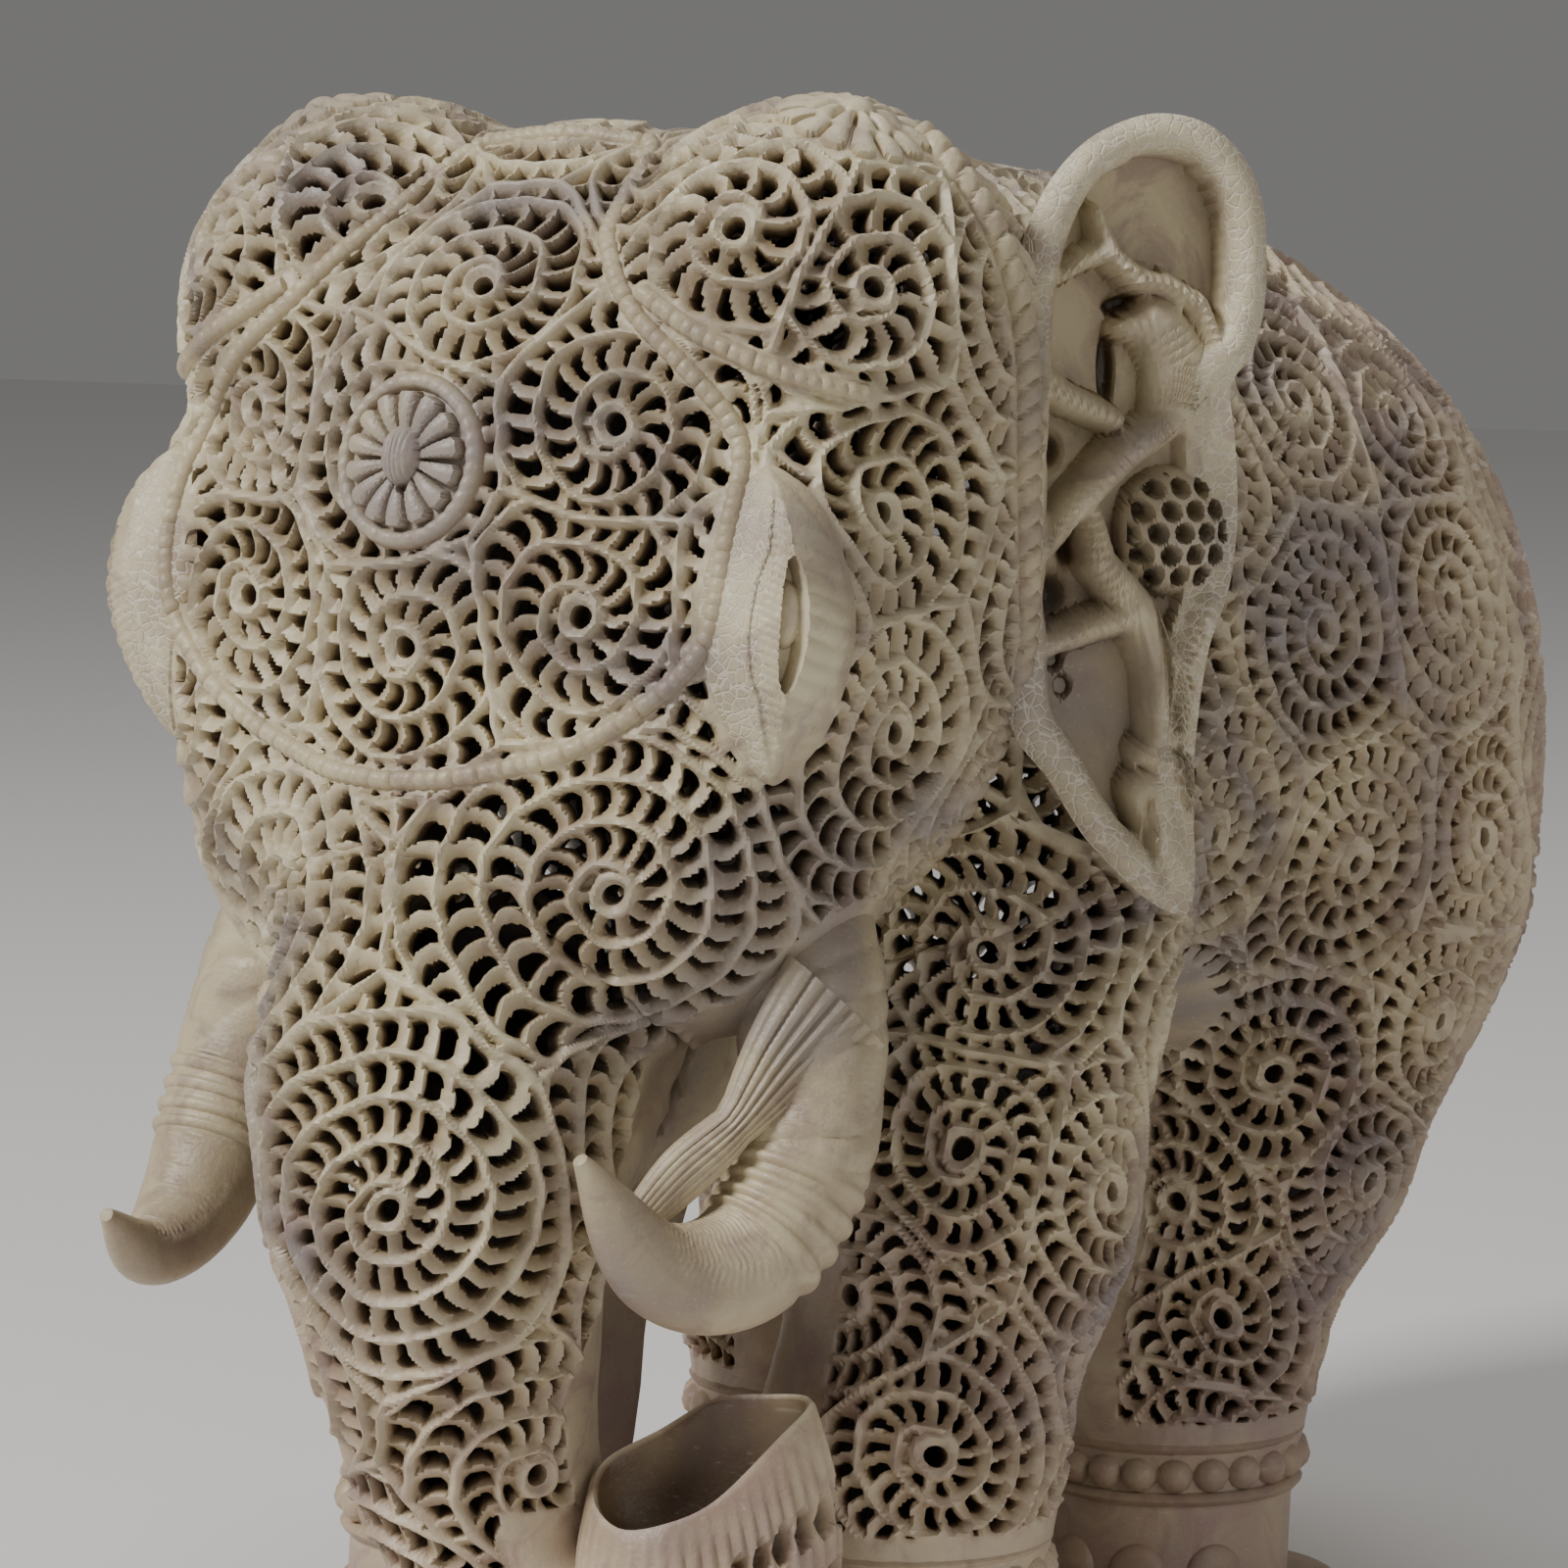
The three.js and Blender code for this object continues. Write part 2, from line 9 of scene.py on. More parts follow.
import bpy
import numpy as np
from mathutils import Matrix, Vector


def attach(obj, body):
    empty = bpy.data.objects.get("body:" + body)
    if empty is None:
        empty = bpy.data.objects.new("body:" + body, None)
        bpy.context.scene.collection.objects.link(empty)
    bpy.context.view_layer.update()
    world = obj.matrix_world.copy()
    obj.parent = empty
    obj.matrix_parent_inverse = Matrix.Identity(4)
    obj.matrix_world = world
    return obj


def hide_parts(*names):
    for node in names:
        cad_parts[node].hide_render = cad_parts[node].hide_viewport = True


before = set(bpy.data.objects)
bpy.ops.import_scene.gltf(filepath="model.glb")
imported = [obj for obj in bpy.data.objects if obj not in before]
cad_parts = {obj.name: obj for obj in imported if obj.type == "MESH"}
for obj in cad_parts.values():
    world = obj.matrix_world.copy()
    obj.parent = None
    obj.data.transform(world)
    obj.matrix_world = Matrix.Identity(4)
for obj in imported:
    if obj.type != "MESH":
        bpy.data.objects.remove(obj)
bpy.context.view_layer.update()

bl_info = {
    "name": "Pierced Soapstone Elephant",
    "version": (1, 0, 0),
    "blender": (4, 5, 0),
    "location": "View3D > Sidebar > Elephant",
    "description": "Builds a hollow soapstone elephant pierced with vine scrolls",
    "category": "Add Mesh",
}

MM = 0.001
STONE = "carved_soapstone"

# Rounded masses: centre, radii, blend with the lumps before it, and whether it stands on both sides
BODY = (
    ((0, 73, 192), (87, 116, 90), 0, False),
    ((42, 116, 162), (46, 60, 78), 30, True),
    ((0, -4, 206), (64, 66, 82), 40, False),
)
HEAD = (
    ((0, -64, 212), (74, 50, 72), 0, False),
    ((46, -60, 256), (36, 43, 40), 12, True),
    ((0, -84, 232), (50, 31, 42), 12, False),
    ((0, -58, 268), (30, 28, 23), 14, False),
    ((44, -78, 190), (26, 36, 54), 14, True),
    ((62, -92, 211), (14, 17, 26), 10, True),
    ((50, -50, 222), (29, 26, 56), 16, True),
    ((0, -64, 126), (29, 25, 22), 8, False),
)
# Limbs: points along the middle, and the radius at each
TRUNK = (
    ((0, -72, 196), (0, -92, 160), (0, -108, 125), (0, -109, 105), (0, -105, 80), (0, -100, 58),
     (4, -95, 37), (18, -91, 26), (30, -90, 27)),
    (42, 35, 31.5, 28.5, 23.5, 20, 18, 16, 13),
)
FORE_LEG = (((49, 0, 150), (49, -17, 95), (47.5, -32, 50), (47.5, -36, 6)), (33, 29, 25, 25))
HIND_LEG = (((46, 116, 142), (45, 94, 95), (42, 74, 50), (42, 70, 6)), (42, 32, 24, 24))
# How widely neighbouring masses run into each other
LIMB_BLEND = 8
LEG_BLEND = 12
TRUNK_BLEND = 24
NECK_BLEND = 10
FOOT_BOTTOM = 4
# Where one mass hands the skin to the next, and how fast its claim falls off past that place
HANDOVER = 0.7
NECK_DEPTH = -30
TRUNK_TOP = 138
LEG_TOP = 128
SKIN_THICKNESS = 4.2
# Masses whose skin is parted in a left and a right half, to keep each piece small
HALVED = ("body", "head")
# Triangles that each piece keeps: the seen side and the face get the most
TARGETS = {"body_left": 145000, "body_right": 95000, "head_left": 180000, "head_right": 95000, "trunk": 105000,
           "fore_left": 55000, "fore_right": 25000, "hind_left": 40000, "hind_right": 25000,
           "ear_left": 40000, "ear_right": 26000, "eyes": 22000, "flowers": 19000, "brow_bands": 14000,
           "roped_edges": 12000, "sheaths": 14000, "tusk_left": 19000, "tusk_right": 9000, "trunk_tip": 14000,
           "anklets": 18000}

# Spines that the skin of each mass is traced from
SPINES = {
    "body": ((0, 10, 200), (0, 40, 196), (0, 80, 190), (0, 116, 186)),
    "head": ((0, -62, 240), (0, -70, 220), (0, -72, 200), (0, -68, 172)),
    "trunk": ((0, -92, 152), (0, -107, 122), (0, -104, 80), (1, -98, 50), (8, -94, 34), (22, -91, 26)),
}


def flipped(points):
    """The same places on the elephant's other side."""
    return tuple((-x, y, z) for x, y, z in points)


LEGS = {
    "fore_left": FORE_LEG,
    "fore_right": (flipped(FORE_LEG[0]), FORE_LEG[1]),
    "hind_left": HIND_LEG,
    "hind_right": (flipped(HIND_LEG[0]), HIND_LEG[1]),
}
SPINES.update({name: leg[0] for name, leg in LEGS.items()})


# Distance fields of the figure, negative inside the stone

def blend_min(a, b, width):
    """The smaller of two fields, rounded where they are within width of each other."""
    near = np.maximum(width - np.abs(a - b), 0) / width
    return np.minimum(a, b) - near * near * width / 4


def lumps_distance(p, lumps):
    """Distance to ellipsoids blended one after another: k (k - 1) over the slope of k, with k the scaled radius."""
    whole = None
    for centre, radii, blend, paired in lumps:
        q = p - np.array(centre, float)
        if paired:
            q[:, 0] = np.abs(p[:, 0]) - centre[0]
        level = np.linalg.norm(q / np.array(radii, float), axis=1)
        slope = np.linalg.norm(q / np.square(radii, dtype=float), axis=1)
        one = level * (level - 1) / np.maximum(slope, 1e-9)
        whole = one if whole is None else blend_min(whole, one, blend)
    return whole


def limb_distance(p, limb, blend):
    """Distance to bones with round ends: the gap to the nearest place on each, less the radius there."""
    points, radii = np.array(limb[0], float), limb[1]
    whole = None
    for i in range(1, len(points)):
        along = points[i] - points[i - 1]
        share = np.clip((p - points[i - 1]) @ along / (along @ along), 0, 1)
        gap = np.linalg.norm(p - points[i - 1] - share[:, None] * along, axis=1)
        bone = gap - radii[i - 1] - (radii[i] - radii[i - 1]) * share
        whole = bone if whole is None else blend_min(whole, bone, blend)
    return whole


def mass_distances(p):
    """The distance field of each mass."""
    found = {"body": lumps_distance(p, BODY), "head": lumps_distance(p, HEAD),
             "trunk": limb_distance(p, TRUNK, LIMB_BLEND)}
    for name, leg in LEGS.items():
        found[name] = np.maximum(limb_distance(p, leg, LEG_BLEND), FOOT_BOTTOM - p[:, 2])
    return found


def figure_distance(found):
    """All masses as one field: the trunk runs into the head, the head into the body, the legs into both."""
    face = blend_min(found["head"], found["trunk"], TRUNK_BLEND)
    whole = blend_min(found["body"], face, NECK_BLEND)
    for name in LEGS:
        whole = blend_min(whole, found[name], LEG_BLEND)
    return whole


def figure(p):
    """The whole figure's field."""
    return figure_distance(mass_distances(p))


def claims(p, found):
    """How near each mass is, with a handicap past the place where it hands the skin to its neighbour."""
    past = {"body": NECK_DEPTH - p[:, 1], "head": p[:, 1] - NECK_DEPTH, "trunk": p[:, 2] - TRUNK_TOP}
    return {name: distance + HANDOVER * np.maximum(past.get(name, p[:, 2] - LEG_TOP), 0)
            for name, distance in found.items()}


def own_share(name, p):
    """The figure where this mass is the nearest one, and below it elsewhere; and by how much it is not."""
    found = mass_distances(p)
    claim = claims(p, found)
    rival = np.min([claim[other] for other in claim if other != name], axis=0)
    behind = claim[name] - rival
    return figure_distance(found) + 2 * np.maximum(behind, 0), behind


def crossing(field, origin, ray, step, reach, inside):
    """First place along each ray where the field changes its sign: steps of one length, then halving."""
    t = np.full(len(origin), step)
    going = np.arange(len(origin))
    while len(going) and t[going[0]] < reach:
        here = field(origin[going] + ray[going] * t[going, None]) < 0
        going = going[here == inside]
        t[going] += step
    near, far = t - step, t.copy()
    for _ in range(11):
        middle = (near + far) / 2
        same = (field(origin + ray * middle[:, None]) < 0) == inside
        near, far = np.where(same, middle, near), np.where(same, far, middle)
    return origin + ray * ((near + far) / 2)[:, None]


def slope(p, e=0.5):
    """The direction straight out of the figure."""
    out = np.stack([figure(p + e * axis) - figure(p - e * axis) for axis in np.eye(3)], 1)
    return out / np.maximum(np.linalg.norm(out, axis=1), 1e-9)[:, None]


def unit(v):
    """Vectors of length one."""
    v = np.asarray(v, float)
    return v / np.maximum(np.linalg.norm(v, axis=-1, keepdims=True), 1e-12)


def press(points, direction, step=1.0):
    """Points outside the figure pressed onto it along a direction."""
    points = np.atleast_2d(np.asarray(points, float))
    ray = np.broadcast_to(unit(direction), points.shape)
    return crossing(figure, points, ray, step, 260, False)


# Curves and grids

def curve(points, places, closed=False):
    """Catmull-Rom curve through points at places counted in points."""
    points = np.asarray(points, float)
    places = np.asarray(places, float)
    n = len(points)
    i = np.floor(places).astype(int) if closed else np.clip(np.floor(places).astype(int), 0, n - 2)
    f = (places - i).reshape(-1, *[1] * (points.ndim - 1))
    def at(k):
        return points[(i + k) % n] if closed else points[np.clip(i + k, 0, n - 1)]
    a, b, c, d = at(-1), at(0), at(1), at(2)
    if not closed:
        a = np.where((i == 0).reshape(f.shape), 2 * b - c, a)
        d = np.where((i == n - 2).reshape(f.shape), 2 * c - b, d)
    return b + 0.5 * f * (c - a + f * (2 * a - 5 * b + 4 * c - d + f * (3 * (b - c) + d - a)))


def even(points, steps, closed=False):
    """Steps places at equal spacing along a curve."""
    n = len(points) - (0 if closed else 1)
    fine = np.linspace(0, n, 40 * n + 1)
    line = curve(points, fine if not closed else fine % n, closed)
    run = np.concatenate([[0], np.cumsum(np.linalg.norm(np.diff(line, axis=0), axis=1))])
    wanted = np.linspace(0, run[-1], steps + 1)
    place = np.interp(wanted, run, fine)
    if closed:
        return curve(points, place[:-1] % n, True), run[-1]
    return curve(points, place, False), run[-1]


def frames_along(line, first):
    """Tangent, side and lift along a line, the side carried along without twist."""
    tangent = unit(np.gradient(line, axis=0))
    side = np.empty_like(line)
    one = np.asarray(first, float)
    for i, t in enumerate(tangent):
        one = unit(one - (one @ t) * t)
        side[i] = one
    return tangent, side, np.cross(tangent, side)


def resample(grid, rows, columns):
    """A grid at finer rows and columns; its columns run round and close."""
    fine = curve(grid, rows)
    turned = np.moveaxis(fine, 1, 0)
    return np.moveaxis(curve(turned, columns, True), 0, 1)


# Spacing of the first, coarse trace of the skin
COARSE = 3.0


def skin_grid(name, step):
    """The skin of one mass by rays from its spine: rays fan out round each end, and stand across it between.
    Traced at a coarse spacing, then refined along smooth curves to the step."""
    length = even(SPINES[name], 10)[1]
    between = max(int(length / COARSE), 4)
    line, _ = even(SPINES[name], between)
    tangent, side, lift = frames_along(line, (1, 0, 0))
    cap = 26 if name in ("body", "head") else 10
    ring = np.concatenate([np.zeros(cap, int), np.arange(between + 1), np.full(cap, between)])
    tilt = np.concatenate([np.linspace(-1, 0, cap + 1)[:-1], np.zeros(between + 1),
                           np.linspace(0, 1, cap + 1)[1:]]) * math.pi / 2
    around = {"body": 170, "head": 150, "trunk": 68}.get(name, 60)
    angle = np.arange(around) / around * 2 * math.pi
    ray = (tangent[ring][:, None] * np.sin(tilt)[:, None, None]
           + np.cos(tilt)[:, None, None] * (side[ring][:, None] * np.cos(angle)[None, :, None]
                                            + lift[ring][:, None] * np.sin(angle)[None, :, None]))
    origin = np.broadcast_to(line[ring][:, None], ray.shape).reshape(-1, 3)
    ray = unit(ray.reshape(-1, 3))
    place = crossing(lambda p: own_share(name, p)[0], origin, ray, 2.0, 260, True)
    behind = own_share(name, place)[1]
    data = np.concatenate([place, slope(place), behind[:, None]], 1).reshape(len(ring), around, 7)
    gap = np.percentile(np.linalg.norm(np.diff(data[..., :3], axis=0), axis=2), 80, axis=1)
    run = np.concatenate([[0], np.cumsum(gap)])
    rows = np.interp(np.linspace(0, run[-1], int(run[-1] / step) + 1), run, np.arange(len(run)))
    girth = np.linalg.norm(data[..., :3] - np.roll(data[..., :3], 1, axis=1), axis=2).sum(1)
    count = int(np.percentile(girth, 85) / step)
    fine = resample(data, rows, np.arange(count) / count * around)
    fine[0], fine[-1] = fine[0, :1], fine[-1, :1]
    fine[..., 3:6] = unit(fine[..., 3:6])
    return fine


def grid_faces(rows, columns):
    """Two triangles for each cell of a grid that runs round, with the diagonals laid in turns."""
    i, j = np.meshgrid(np.arange(rows - 1), np.arange(columns), indexing="ij")
    right = (j + 1) % columns
    a, b, c, d = i * columns + j, i * columns + right, (i + 1) * columns + right, (i + 1) * columns + j
    even_cell = ((i + j) % 2 == 0)[..., None]
    first = np.where(even_cell, np.stack([a, b, c], -1), np.stack([a, b, d], -1))
    second = np.where(even_cell, np.stack([a, c, d], -1), np.stack([b, c, d], -1))
    return np.concatenate([first.reshape(-1, 3), second.reshape(-1, 3)])


def capped_faces(rows, columns):
    """The faces of a grid that runs round, with its first and its last row each drawn into one corner."""
    faces, last = grid_faces(rows, columns), (rows - 1) * columns
    return np.where(faces < columns, 0, np.minimum(faces, last))


def cut(data, faces, value):
    """Keeps the part of a surface where the value is positive, with new corners on the line where it is nought."""
    inside = value > 0
    count = inside[faces].sum(1)
    turn = np.arange(3)
    one = faces[count == 1]
    one = np.take_along_axis(one, (inside[one].argmax(1)[:, None] + turn) % 3, 1)
    two = faces[count == 2]
    two = np.take_along_axis(two, ((~inside[two]).argmax(1)[:, None] + turn) % 3, 1)
    pairs = np.concatenate([one[:, [0, 1]], one[:, [0, 2]], two[:, [0, 1]], two[:, [0, 2]]])
    edges, spot = np.unique(np.sort(pairs, 1), axis=0, return_inverse=True)
    spot = spot.reshape(-1) + len(data)
    low, high = edges.T
    share = value[low] / np.where(value[low] == value[high], 1, value[low] - value[high])
    share = np.clip(share, 0.12, 0.88)[:, None]
    data = np.concatenate([data, data[low] + (data[high] - data[low]) * share])
    ends = np.cumsum([len(one), len(one), len(two)])
    one_b, one_c, two_b, two_c = np.split(spot, ends)
    faces = np.concatenate([
        faces[count == 3],
        np.stack([one[:, 0], one_b, one_c], 1),
        np.stack([two_b, two[:, 1], two[:, 2]], 1),
        np.stack([two_b, two[:, 2], two_c], 1),
    ])
    return packed(data, faces)


def packed(data, faces):
    """Drops faces that shrank to a line and corners that no face uses."""
    a, b, c = faces.T
    faces = faces[(a != b) & (b != c) & (c != a)]
    used, index = np.unique(faces, return_inverse=True)
    return data[used], index.reshape(-1, 3)


def walled(outer, inner, faces):
    """An outer skin, an inner skin of the same faces turned over, and walls along every open edge."""
    n = len(outer)
    edges = np.concatenate([faces[:, [0, 1]], faces[:, [1, 2]], faces[:, [2, 0]]])
    code, back = edges[:, 0] * n + edges[:, 1], edges[:, 1] * n + edges[:, 0]
    rim = edges[~np.isin(code, back)]
    a, b = rim.T
    walls = np.concatenate([np.stack([b, a, a + n], 1), np.stack([b, a + n, b + n], 1)])
    return np.concatenate([outer, inner]), np.concatenate([faces, faces[:, ::-1] + n, walls])


# Meshes in Blender

def thinned(piece, target):
    """The mesh with fewer triangles, taken first where it is flattest."""
    modifier = piece.modifiers.new("thin", "DECIMATE")
    modifier.ratio = min(target / len(piece.data.polygons), 1)
    evaluated = piece.evaluated_get(bpy.context.evaluated_depsgraph_get())
    mesh = bpy.data.meshes.new_from_object(evaluated)
    piece.modifiers.clear()
    piece.data = mesh
    return mesh


def add_piece(name, points, faces, tone=None, scales=None, smooth=42):
    """A mesh piece that rides on the root: corners in millimetres, triangles, and the stone's tone and scales."""
    mesh = bpy.data.meshes.new(name)
    points = np.asarray(points, float) * MM
    faces = np.asarray(faces)
    sides = faces.shape[1]
    mesh.vertices.add(len(points))
    mesh.vertices.foreach_set("co", points.astype(np.float32).ravel())
    mesh.loops.add(faces.size)
    mesh.loops.foreach_set("vertex_index", faces.astype(np.int32).ravel())
    mesh.polygons.add(len(faces))
    mesh.polygons.foreach_set("loop_start", np.arange(0, faces.size, sides, dtype=np.int32))
    mesh.update(calc_edges=True)
    mesh.validate()
    for key, values in (("tone", 0.6 if tone is None else tone), ("scales", 0.0 if scales is None else scales)):
        layer = mesh.attributes.new(key, "FLOAT", "POINT")
        layer.data.foreach_set("value", np.broadcast_to(np.asarray(values, np.float32), len(mesh.vertices)))
    piece = bpy.data.objects.new(name, mesh)
    bpy.context.scene.collection.objects.link(piece)
    if name.removeprefix("skin_") in TARGETS:
        mesh = thinned(piece, TARGETS[name.removeprefix("skin_")])
    mesh.shade_smooth()
    mesh.set_sharp_from_angle(angle=math.radians(smooth))
    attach(piece, "root")
    mesh.materials.clear()
    mesh.materials.append(bpy.data.materials[STONE])
    return piece


# Cells between the turns of a scroll: pitch of the rows, pitch along a row
FACE_CELL = (7.3, 6.4)
BODY_CELL = (6.4, 5.4)
DOME_CELL = (7.9, 7.4)
# Vine scrolls: middle near the skin, radius, and turning sense
FACE_SCROLLS = (
    ((10.8, -138, 109), 23, 1), ((39, -113, 163), 22, 1), ((-29, -118, 157), 21, -1),
    ((-39, -113.5, 210), 15, 1), ((37, -107, 242), 14, -1), ((34, -114, 211), 15, 1),
    ((1, -120, 203), 12, -1), ((-43, -105, 242), 13, 1), ((8, -104, 265), 12, 1),
    ((77.7, -81, 227.5), 15, -1), ((77.8, -78, 187), 17, 1),
    ((-77.7, -81, 227.5), 15, 1), ((-77.8, -78, 187), 17, -1),
)
DOME_SCROLLS = (
    ((54, -98, 274), 14, 1), ((75, -84, 264), 13, -1), ((-30, -90, 279.5), 13, 1), ((-60, -97, 269), 14, -1),
)
SIDE_SCROLLS = (
    ((86, 52, 198), 17, 1), ((90, 94, 199), 18, -1), ((82, 70, 152), 18, 1), ((75, 62, 242), 16, -1),
    ((65, -33, 147), 15, 1), ((66, -42, 113), 15, -1), ((70, -55, 59), 14, 1),
    ((70, 64, 110), 16, -1), ((71, 51, 66), 13, 1),
)
# Further scrolls are set wherever the skin is this far from every other
SCROLL_SPACING = 33
SCROLL_RADIUS = 16
CENTRE_RADIUS = 3.5
CENTRE_HOLE = 2.15
# Half widths of the stems and of the borders between scrolls, then heights over the skin
STEM_HALF = 0.95
BORDER_HALF = 1.1
LEAF_HEIGHT = 0.6
LEAF_DROP = 1.5
STEM_HEIGHT = 1.4
BORDER_HEIGHT = 1.6
# How far the hand strays from leaf to leaf
UNEVEN = 0.25
HOLE_MARGIN = 0.05
# Rows narrower than this either side of their middle stay whole
LEAST_ROOM = 0.9
# Keeps skin that faces away from a scroll's middle out of that scroll, in square millimetres
TURNED_AWAY = 300


def scroll_table(points, normals):
    """Every scroll as arrays: the listed ones, then places on the skin that are furthest from all others."""
    near = np.array([s[0] for s in SIDE_SCROLLS], float)
    rows = [(np.array(c, float), r, s, FACE_CELL) for c, r, s in FACE_SCROLLS]
    rows += [(np.array(c, float), r, s, DOME_CELL) for c, r, s in DOME_SCROLLS]
    for c, (_, r, s) in zip(near, SIDE_SCROLLS):
        rows += [(c, r, s, BODY_CELL), (c * (-1, 1, 1), r, -s, BODY_CELL)]
    gap = np.min([np.linalg.norm(points - row[0], axis=1) * 17 / row[1] for row in rows], axis=0)
    while gap.max() > SCROLL_SPACING:
        best = int(gap.argmax())
        cell = FACE_CELL if points[best, 1] < -60 else BODY_CELL
        rows.append((points[best], SCROLL_RADIUS, 1 if len(rows) % 2 else -1, cell))
        gap = np.minimum(gap, np.linalg.norm(points - points[best], axis=1))
    centre = np.array([row[0] for row in rows])
    nearest = [int(np.argmin(np.linalg.norm(points - c, axis=1))) for c in centre]
    centre, out = points[nearest], unit(normals[nearest])
    up = np.where(np.abs(out[:, 2:]) < 0.9, (0.0, 0.0, 1.0), (0.0, 1.0, 0.0))
    across = unit(np.cross(up, out))
    return {
        "centre": centre, "out": out, "across": across, "up": np.cross(out, across),
        "weight": np.array([row[1] for row in rows], float) ** 2,
        "sense": np.array([row[2] for row in rows], float),
        "pitch": np.array([row[3][0] for row in rows]), "cell": np.array([row[3][1] for row in rows]),
    }


def bump(distance, half):
    """A round ridge: one on its line, nought beyond its half width."""
    return np.sqrt(np.maximum(1 - (distance / half) ** 2, 0))


def lattice(p, n, table):
    """Stone and relief of the vine scrolls at places on the skin.
    Each place belongs to the scroll whose power distance is least. In that scroll's polar coordinates a stem
    winds out by one pitch a turn; the row between two turns is parted along the stem into equal cells, and
    each cell is an oval hole with a bite of the next leaf's curved edge in it. The leaf rises to that edge."""
    power = np.empty((len(p), len(table["weight"])), np.float32)
    for k, (c, out, w) in enumerate(zip(table["centre"], table["out"], table["weight"])):
        q = p - c
        power[:, k] = (q * q).sum(1) - w + TURNED_AWAY * (1 - n @ out)
    rows = np.arange(len(p))
    own = power.argmin(1)
    first = power[rows, own]
    power[rows, own] = np.inf
    rival = power.argmin(1)
    apart = np.linalg.norm(table["centre"][own] - table["centre"][rival], axis=1)
    border = (power[rows, rival] - first) / (2 * np.maximum(apart, 1))
    q = p - table["centre"][own]
    reach = np.linalg.norm(q, axis=1)
    x, y = (q * table["across"][own]).sum(1), (q * table["up"][own]).sum(1)
    turn = (np.arctan2(y, x) * table["sense"][own]) % (2 * math.pi)
    pitch, cell = table["pitch"][own], table["cell"][own]
    phase = (reach - CENTRE_RADIUS) / pitch - turn / (2 * math.pi)
    row = np.maximum(np.floor(phase), -1)
    inner = np.where(row < 0, reach - CENTRE_RADIUS, (phase - row) * pitch)
    outer = (row + 1 - phase) * pitch
    wound = turn + 2 * math.pi * (row + 1)
    along = CENTRE_RADIUS * wound + pitch * wound ** 2 / (4 * math.pi)
    a = (along / cell % 1 - 0.5) * cell
    b = (inner - outer) / 2
    half = (inner + outer) / 2
    room = half - STEM_HALF - HOLE_MARGIN
    vary = np.sin(np.floor(along / cell) * 12.9 + row * 78.2 + own * 37.7) * UNEVEN
    edge = 0.04 * cell + 0.15 * b * b + 0.3 * b + vary
    long_radius = 0.5 * cell - 0.25
    oval = (1 - np.hypot((a + 0.05 * cell) / long_radius, b / np.maximum(room, 0.3))) * np.minimum(long_radius, room)
    pierced = np.minimum(oval, edge - a)
    pierced = np.where(room < LEAST_ROOM, room - LEAST_ROOM, pierced)
    since = np.where(a > edge, a - edge, a + cell - edge)
    leaf = LEAF_HEIGHT + vary - LEAF_DROP * np.clip(since / (0.5 * cell), 0, 1)
    near_stem = np.minimum(inner, outer)
    stem = (STEM_HEIGHT + LEAF_DROP) * bump(near_stem, STEM_HALF) - LEAF_DROP
    leaf = leaf + 0.5 * np.clip(1 - inner / 2.4, 0, 1) ** 2
    middle = reach < CENTRE_RADIUS
    pierced = np.where(middle, CENTRE_HOLE - reach, pierced)
    leaf = np.where(middle, 0.3, leaf)
    stem = np.where(middle, STEM_HEIGHT * bump(reach - CENTRE_RADIUS, STEM_HALF), stem)
    ridge = (BORDER_HEIGHT + LEAF_DROP) * bump(border, BORDER_HALF) - LEAF_DROP
    pierced = np.minimum(pierced, border - BORDER_HALF - HOLE_MARGIN)
    relief = np.maximum(np.maximum(leaf, stem), ridge)
    return -pierced, relief


# Carving that stands on the skin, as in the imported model

# The eye's middle before it is pressed on, and the way it looks
EYE_MIDDLE = (66, -102, 208.5)
EYE_OUT = (46, -32, 0)
ROSETTE_HEIGHT = 235
ROSETTE_RADIUS = 15.5
CAP_FLOWER = (58, -66, 340)
CAP_RADIUS = 14.5
# Half of the oval round the brow, seen from the front
BROW_OVAL = ((0, 292), (11, 286), (24, 275), (36, 262), (49, 251), (57, 240), (60, 227), (57, 205),
             (38, 189), (16, 182), (0, 180.5))
BROW_CROWN = 280
DOME_BAND = ((33, 264), (46, 257), (60, 251), (73, 247))
COLLAR = ((64, -56, 290), (80, -52, 264), (83, -49, 238), (79, -44, 212), (73, -38, 189), (66, -38, 170),
          (50, -42, 150))
TUSKS = {
    "right": ((-44, -66, 160), (-58, -78, 144), (-63, -88, 118), (-63, -100, 98), (-60, -117, 91), (-58, -131, 100)),
    "left": ((42, -66, 160), (56, -77, 144), (60, -84, 117), (57, -98, 99), (51, -116, 100), (48, -134, 121)),
}
# Radii at equal steps from root to tip, and the places of the rings as shares of the length
TUSK_RADII = (13, 13.3, 13.2, 12.7, 12.2, 11.8, 11.2, 9.8, 7.6, 4.9, 1.2)
TUSK_RINGS = (0.475, 0.51, 0.545, 0.58)
LIP_PATH = ((-70, -70, 147), (-63, -79, 141), (-53, -90, 133), (-44, -98, 127))
SHEATH_PATH = ((66, -83, 143), (60.5, -91, 133), (55.5, -99, 122.5), (50, -107, 114.5), (45, -112, 107))
# Half width of a sheath at its neck, what its fan adds on each side of the head, where the fan ends, flute height
SHEATH_NECK = 3.6
SHEATH_FAN = {1: 8.6, -1: 5.5}
SHEATH_FAN_END = 0.56
SHEATH_FLUTE = 1.3
BAND_HALF = 1.8
ROPE_HALF = 3.0
BEAD_PITCH = 2.3


